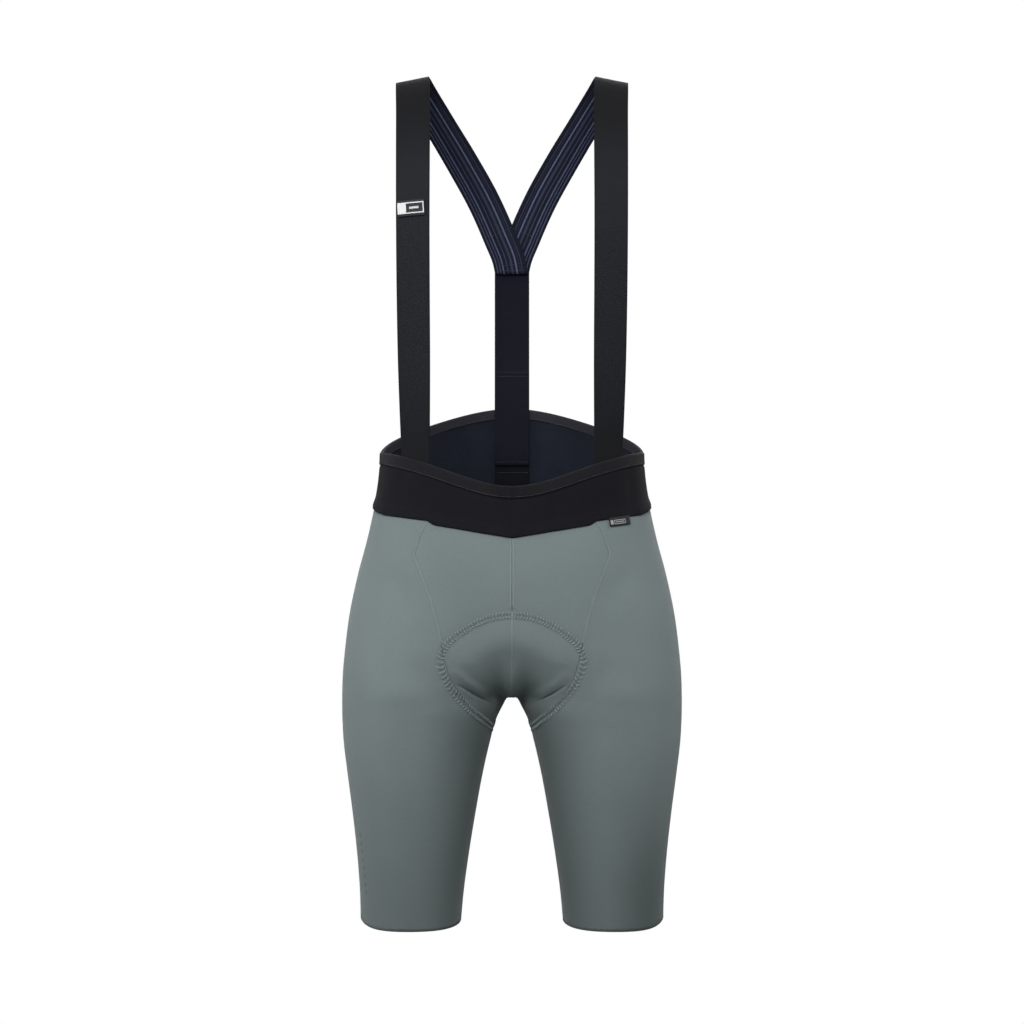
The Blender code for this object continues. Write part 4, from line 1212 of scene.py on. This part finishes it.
STRAP_STRIPES = (  # millimetres from the inner edge, width, strength
    (5.3, 1.1, 0.35),
    (7.6, 1.2, 0.15),
    (11.2, 2.2, 1.00),
    (16.0, 3.4, 0.30),
    (20.9, 1.2, 0.45),
    (25.6, 1.9, 0.80),
    (28.8, 1.2, 0.55),
    (32.0, 1.5, 0.60),
)


def strap_at(along):
    """Middle points, width directions, bow and parting of the wearer's left strap at shares of
    its path. Its width is turned by tilt in the front view and by yaw round the body."""
    keyed = np.column_stack([length_along(STRAP_PATH[:, :3]), STRAP_PATH])
    x, y, z, tilt, yaw, bow = smooth_columns(keyed, along * keyed[-1, 0])
    tilt, yaw = np.radians(tilt), np.radians(yaw)
    width = unit(np.stack([np.cos(tilt) * np.cos(yaw), np.sin(yaw), -np.sin(tilt)], axis=-1))
    parting = CROSSING * smoothstep(z, CROSSING_FROM, CROSSING_TO) * (y > 0)
    return np.stack([x, y, z], axis=-1), width, bow, parting


def webbing_material(name, face, deep_face, back, stripe, stripes):
    """Woven elastic: fine ribs across and cords along, darker at the edges. The side against the
    body has a darker ground with paler stripes along it. Both faces carry painted shade: the outer
    face darker over the shoulders and low down, the inner face near black low down."""
    made, wire = new_material(
        name, Roughness=0.72, Sheen_Weight=0.06, Sheen_Roughness=0.4, Specular_IOR_Level=0.16,
    )
    u, v = wire.map()
    inner_side = wire.map("face")[0].step(0.4, 0.6)
    z = wire.place().split()[2]
    cord, weft = u.wave(0.0011), v.wave(0.0009)
    weave = cord * weft + (1 - cord) * (1 - weft)
    fibres, broken = wire.noise(1200.0), wire.noise(420.0, 1.0)
    selvedge = abs(u - STRAP_WIDTH / 2).step(0.0150, 0.0172)
    outer = (weave * 0.45 + fibres * 0.55).mix(deep_face, face)
    outer = (selvedge * 0.5).mix(outer, deep_face)
    # Painted shade: the outer face is mixed towards near black over the shoulders, and low down where the
    # strap lies in the waistband's shade, most at its very bottom.
    painted_strap_shade = z.step(-0.13, -0.03, 0.0, 0.8) + z.step(-0.42, -0.30, 0.6, 0.0)
    painted_strap_shade = painted_strap_shade + z.step(-0.455, -0.44, 0.4, 0.0)
    outer = painted_strap_shade.mix(outer, colour(12, 12, 15))
    lines = u * 0.0
    for middle, width, strength in stripes:
        lines = lines + u.hump(middle / 1000, width / 1000 * STRIPE_SPREAD) * strength
    lines = lines * broken.step(0.25, 0.6, 0.75, 1.0)
    ground = (weave * 0.4 + fibres * 0.3).mix(back, shaded(back, 1.5))
    inner = lines.mix(ground, stripe)
    # Painted shade: below z -0.41 the inner face is mixed towards near black colour(3, 4, 8), as in the
    # shade inside the waistband.
    inner = z.step(-0.41, -0.395, 0.6, 0.0).mix(inner, colour(3, 4, 8))
    height = weave * 0.00022 + fibres * 0.00008 + inner_side * lines * 0.0004
    return painted(made, inner_side.mix(outer, inner), height, 0.75)


def strap_maps(across, face, along):
    """The cloth map across and along a strap, and the face map, for each row of its section."""
    values = {"cloth": across, "face": face}
    return {name: grid_map(np.append(value, value[0]), along) for name, value in values.items()}


def strap_side(way):
    """The path of one side's strap, before it is mirrored to the right, and the way it faces:
    the straps part where they pass each other."""
    placed = middles + np.array([0.0, 1.0, 0.0]) * parting[:, None] * way
    return placed, -sideways(placed, widths)


strap_webbing = webbing_material(
    "strap_webbing", colour(44, 45, 51), colour(28, 29, 34), colour(16, 20, 36), colour(104, 112, 144),
    STRAP_STRIPES,
)
section, section_across, section_face = flat_section(STRAP_WIDTH, STRAP_CLOTH, 13, 4)
middles, widths, bow, parting = strap_at(np.linspace(0, 1, STRAP_ROWS))
bowed = np.tile(section, (STRAP_ROWS, 1, 1))
bowed[..., 1] += bow[:, None] * (1 - (2 * section[:, 0] / STRAP_WIDTH) ** 2)
for side, way in (("left", 1), ("right", -1)):
    placed, out = strap_side(way)
    maps = strap_maps(section_across, section_face, length_along(middles))
    points = swept(placed, widths, out, bowed)
    if way < 0:
        points = mirrored(points)
        maps = {key: np.roll(value[:, ::-1], -1, axis=1) for key, value in maps.items()}
        for value in maps.values():
            value[:, -1] = value[:, 0]
    strap = grid_piece(f"shoulder_strap_{side}", points, [strap_webbing], maps, ring=True, caps=True)
    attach(strap, "root")
    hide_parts(f"strap_{side}")


def rows_across(middle, across, out, width, bow=0.0, mirror=1.0):
    """Two rows of stitches across a strap, one on each face. The bow lifts them by a parabola
    that is 0 at the strap's edges."""
    share = np.linspace(-0.47, 0.47, 24)[:, None]
    path = middle + across * share * width + out * bow * (1 - 4 * share**2)
    rows = []
    for facing in (out, -out):
        raised = path + facing * STRAP_CLOTH / 2
        rows.append(running(raised * mirror, facing * mirror + 0 * path))
    return rows


# Rows of dark stitching across the straps where they pass each other and at their lower ends,
# and two rows across each one where it is held inside the front of the waistband.
dark_thread = thread_material("dark_thread", colour(24, 26, 36))
ROWS_BEHIND = (-0.1560, -0.1905, -0.1945)
ROWS_IN_FRONT = (-0.4445, -0.4325)
for side, mirror in SIDES:
    rows = []
    placed, out = strap_side(mirror[0])
    for z, behind in [(z, True) for z in ROWS_BEHIND] + [(z, False) for z in ROWS_IN_FRONT]:
        chosen = np.flatnonzero((middles[:, 1] > 0) == behind)
        i = chosen[np.abs(middles[chosen, 2] - z).argmin()]
        rows += rows_across(placed[i], widths[i], out[i], STRAP_WIDTH, bow[i], mirror)
    threads(f"strap_stitches_{side}", rows, STITCH_RADIUS, dark_thread)


# The back strap: plain navy elastic webbing in an upper stretch, a lower one laid over its end
# towards the body, and a tail sewn down the inside of the back of the waistband.
BACK_STRAP_WIDTH, STRAP_LAYER, BACK_ROWS = 0.0375, 0.0020, 50
BACK_STRAP = np.array([  # z, y
    (-0.190, 0.1026),
    (-0.230, 0.1030),
    (-0.280, 0.1008),
    (-0.315, 0.0970),
    (-0.340, 0.0946),
    (-0.350, 0.0940),
    (-0.370, 0.0939),
    (-0.400, 0.0947),
    (-0.420, 0.0961),
    (-0.440, 0.0988),
    (-0.455, 0.1008),
])
BACK_STRETCHES = {  # top, bottom, layer, heights of its rows of stitches
    "upper": (-0.1905, -0.312, 1, (-0.1945, -0.1985)),
    "lower": (-0.304, -0.407, 0, (-0.3065, -0.3100, -0.4035)),
    "tail": (-0.400, -0.450, 1, (-0.4460, -0.4140)),
}
navy_webbing = webbing_material(
    "navy_webbing", colour(17, 24, 42), colour(9, 13, 26), colour(14, 17, 29), colour(24, 29, 42), (),
)
back_section, back_across, back_face = flat_section(BACK_STRAP_WIDTH, STRAP_CLOTH, 13, 4)
back_across = back_across * STRAP_WIDTH / BACK_STRAP_WIDTH
for name, (top, bottom, layer, stitch_heights) in BACK_STRETCHES.items():
    z = np.linspace(bottom, top, BACK_ROWS)
    y = smooth_columns(BACK_STRAP, z)[0] + layer * STRAP_LAYER - STRAP_LAYER / 2
    path = np.stack([0 * z, y, z], axis=-1)
    across = np.tile(np.array([-1.0, 0.0, 0.0]), (BACK_ROWS, 1))
    out = -sideways(path, across)
    length = length_along(path)
    maps = strap_maps(back_across, back_face, length)
    points = swept(path, across, out, back_section)
    strap = grid_piece(f"back_strap_{name}_webbing", points, [navy_webbing], maps, ring=True, caps=True)
    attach(strap, "root")
    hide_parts(f"back_strap_{name}")
    rows = []
    for height in stitch_heights:
        i = np.abs(z - height).argmin()
        rows += rows_across(path[i], across[i], out[i], BACK_STRAP_WIDTH)
    threads(f"back_strap_{name}_stitches", rows, STITCH_RADIUS, dark_thread)


# Two woven labels with nothing written on them: a wide one round the front of the wearer's right
# strap, with a white block and a framed dark field, and a small black tab caught in the seam
# below the waistband on the wearer's left.
LABEL_CLOTH, LABEL_ASIDE, MARK_SOFT = 0.0010, 0.0014, 0.00015
LABEL_WIDTH, LABEL_HEIGHT, LABEL_MIDDLE, LABEL_TILT = 0.0285, 0.0165, -0.1485, -4.0
TAB_FROM, TAB_TO, TAB_HEIGHT, TAB_SEWN_UNDER = 0.0965, 0.1175, 0.0085, 0.003


def label_material(name, marks, ground):
    """Satin-woven cloth with plain pale marks. A mark is a box on the label's map, from and to
    across, from and to up, how strong it is, and how wide its frame is, or 0 if it is filled."""
    made, wire = new_material(name, Roughness=0.55, Sheen_Weight=0.2, Specular_IOR_Level=0.4)
    u, v = wire.map()
    shown = u * 0.0
    for left, right, low, top, strength, frame_width in marks:
        mark = u.between(left, right, MARK_SOFT) * v.between(low, top, MARK_SOFT)
        if frame_width:
            within = u.between(left + frame_width, right - frame_width, MARK_SOFT)
            within = within * v.between(low + frame_width, top - frame_width, MARK_SOFT)
            mark = mark * (1 - within)
        shown = shown.math("MAXIMUM", shown, mark * strength)
    pick = u.cosine(0.0006) * v.cosine(0.0005) * 0.5 + 0.5
    tone = shown.mix(ground, colour(250, 250, 253))
    return painted(made, (pick * 0.08).mix(tone, colour(10, 10, 14)), pick * 0.00008 + shown * 0.00025, 0.8)


def on_strap(across, up):
    """Points on the outside of the wearer's left strap at offsets across and up from the label's
    middle, turned by its tilt, with the strap's outward direction there. It sits nearer the
    strap's outer edge."""
    fine = np.linspace(0, 0.5, 400)
    at = np.interp(LABEL_MIDDLE, strap_at(fine)[0][:, 2], fine)
    middle, width = (value[0] for value in strap_at(np.array([at]))[:2])
    ahead = strap_at(np.array([at + 0.002]))[0][0] - middle
    rising = unit(ahead - width * (ahead @ width))
    lean = math.radians(LABEL_TILT)
    aside, along = math.cos(lean), math.sin(lean)
    width, rising = width * aside + rising * along, rising * aside - width * along
    points = middle + width * (across[..., None] + LABEL_ASIDE) + rising * up[..., None]
    return points, np.cross(width, rising)


half_width, half_height = LABEL_WIDTH / 2, LABEL_HEIGHT / 2
across, up = np.meshgrid(
    np.linspace(-half_width, half_width, 30), np.linspace(-half_height, half_height, 18),
)
points, out = on_strap(across, up)
edge = np.maximum(np.abs(across) / half_width, np.abs(up) / half_height)
lift = STRAP_CLOTH / 2 + SEAM_GAP + LABEL_CLOTH + 0.0003 * (1 - edge**4)
points = points + out * lift[..., None]
label_marks = (
    (0.0000, 0.0085, 0.0028, 0.0144, 1.0, 0.0),
    (0.0080, 0.0278, 0.0028, 0.0144, 0.92, 0.0012),
    (0.0125, 0.0225, 0.0075, 0.0097, 0.8, 0.0),
)
maps = np.stack([half_width - across, up + half_height], axis=-1)
strap_tag = label_material("strap_tag_weave", label_marks, colour(30, 31, 38))
label = grid_piece("strap_label_tag", mirrored(points), [strap_tag], {"cloth": maps[:, ::-1]})
walled(label, LABEL_CLOTH)
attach(label, "root")
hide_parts("strap_label")

place = np.linspace(TAB_FROM, TAB_TO, 24)
turn = np.linspace(-math.pi / 2, 0, 400)
side_x = trunk_point(turn, np.full_like(turn, BAND_LOW_SIDE))[..., 0]
angle = np.interp(place, side_x, turn)[None, :]
down = np.linspace(1, 0, 12)[:, None]
height = band_low(angle) - SEAM_GAP - TAB_HEIGHT * down
base = trunk_point(angle + 0 * height, height)
tab_points = base + form_normal(base) * (2 * SEAM_GAP + LABEL_CLOTH + 0.0006 * down)[..., None]
tab_marks = (
    (0.0012, 0.0044, 0.0014, 0.0058, 0.45, 0.0),
    (0.0056, 0.0198, 0.0014, 0.0058, 0.45, 0.0007),
    (0.0075, 0.0178, 0.0031, 0.0042, 0.35, 0.0),
)
maps = grid_map(length_along(tab_points[-1]), TAB_HEIGHT * (1 - down[:, 0]))
tab_weave = label_material("tab_weave", tab_marks, colour(20, 20, 24))
tab = grid_piece("waist_tab_weave", tab_points, [tab_weave], {"cloth": maps})
walled(tab, LABEL_CLOTH)
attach(tab, "root")
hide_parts("waist_tab")
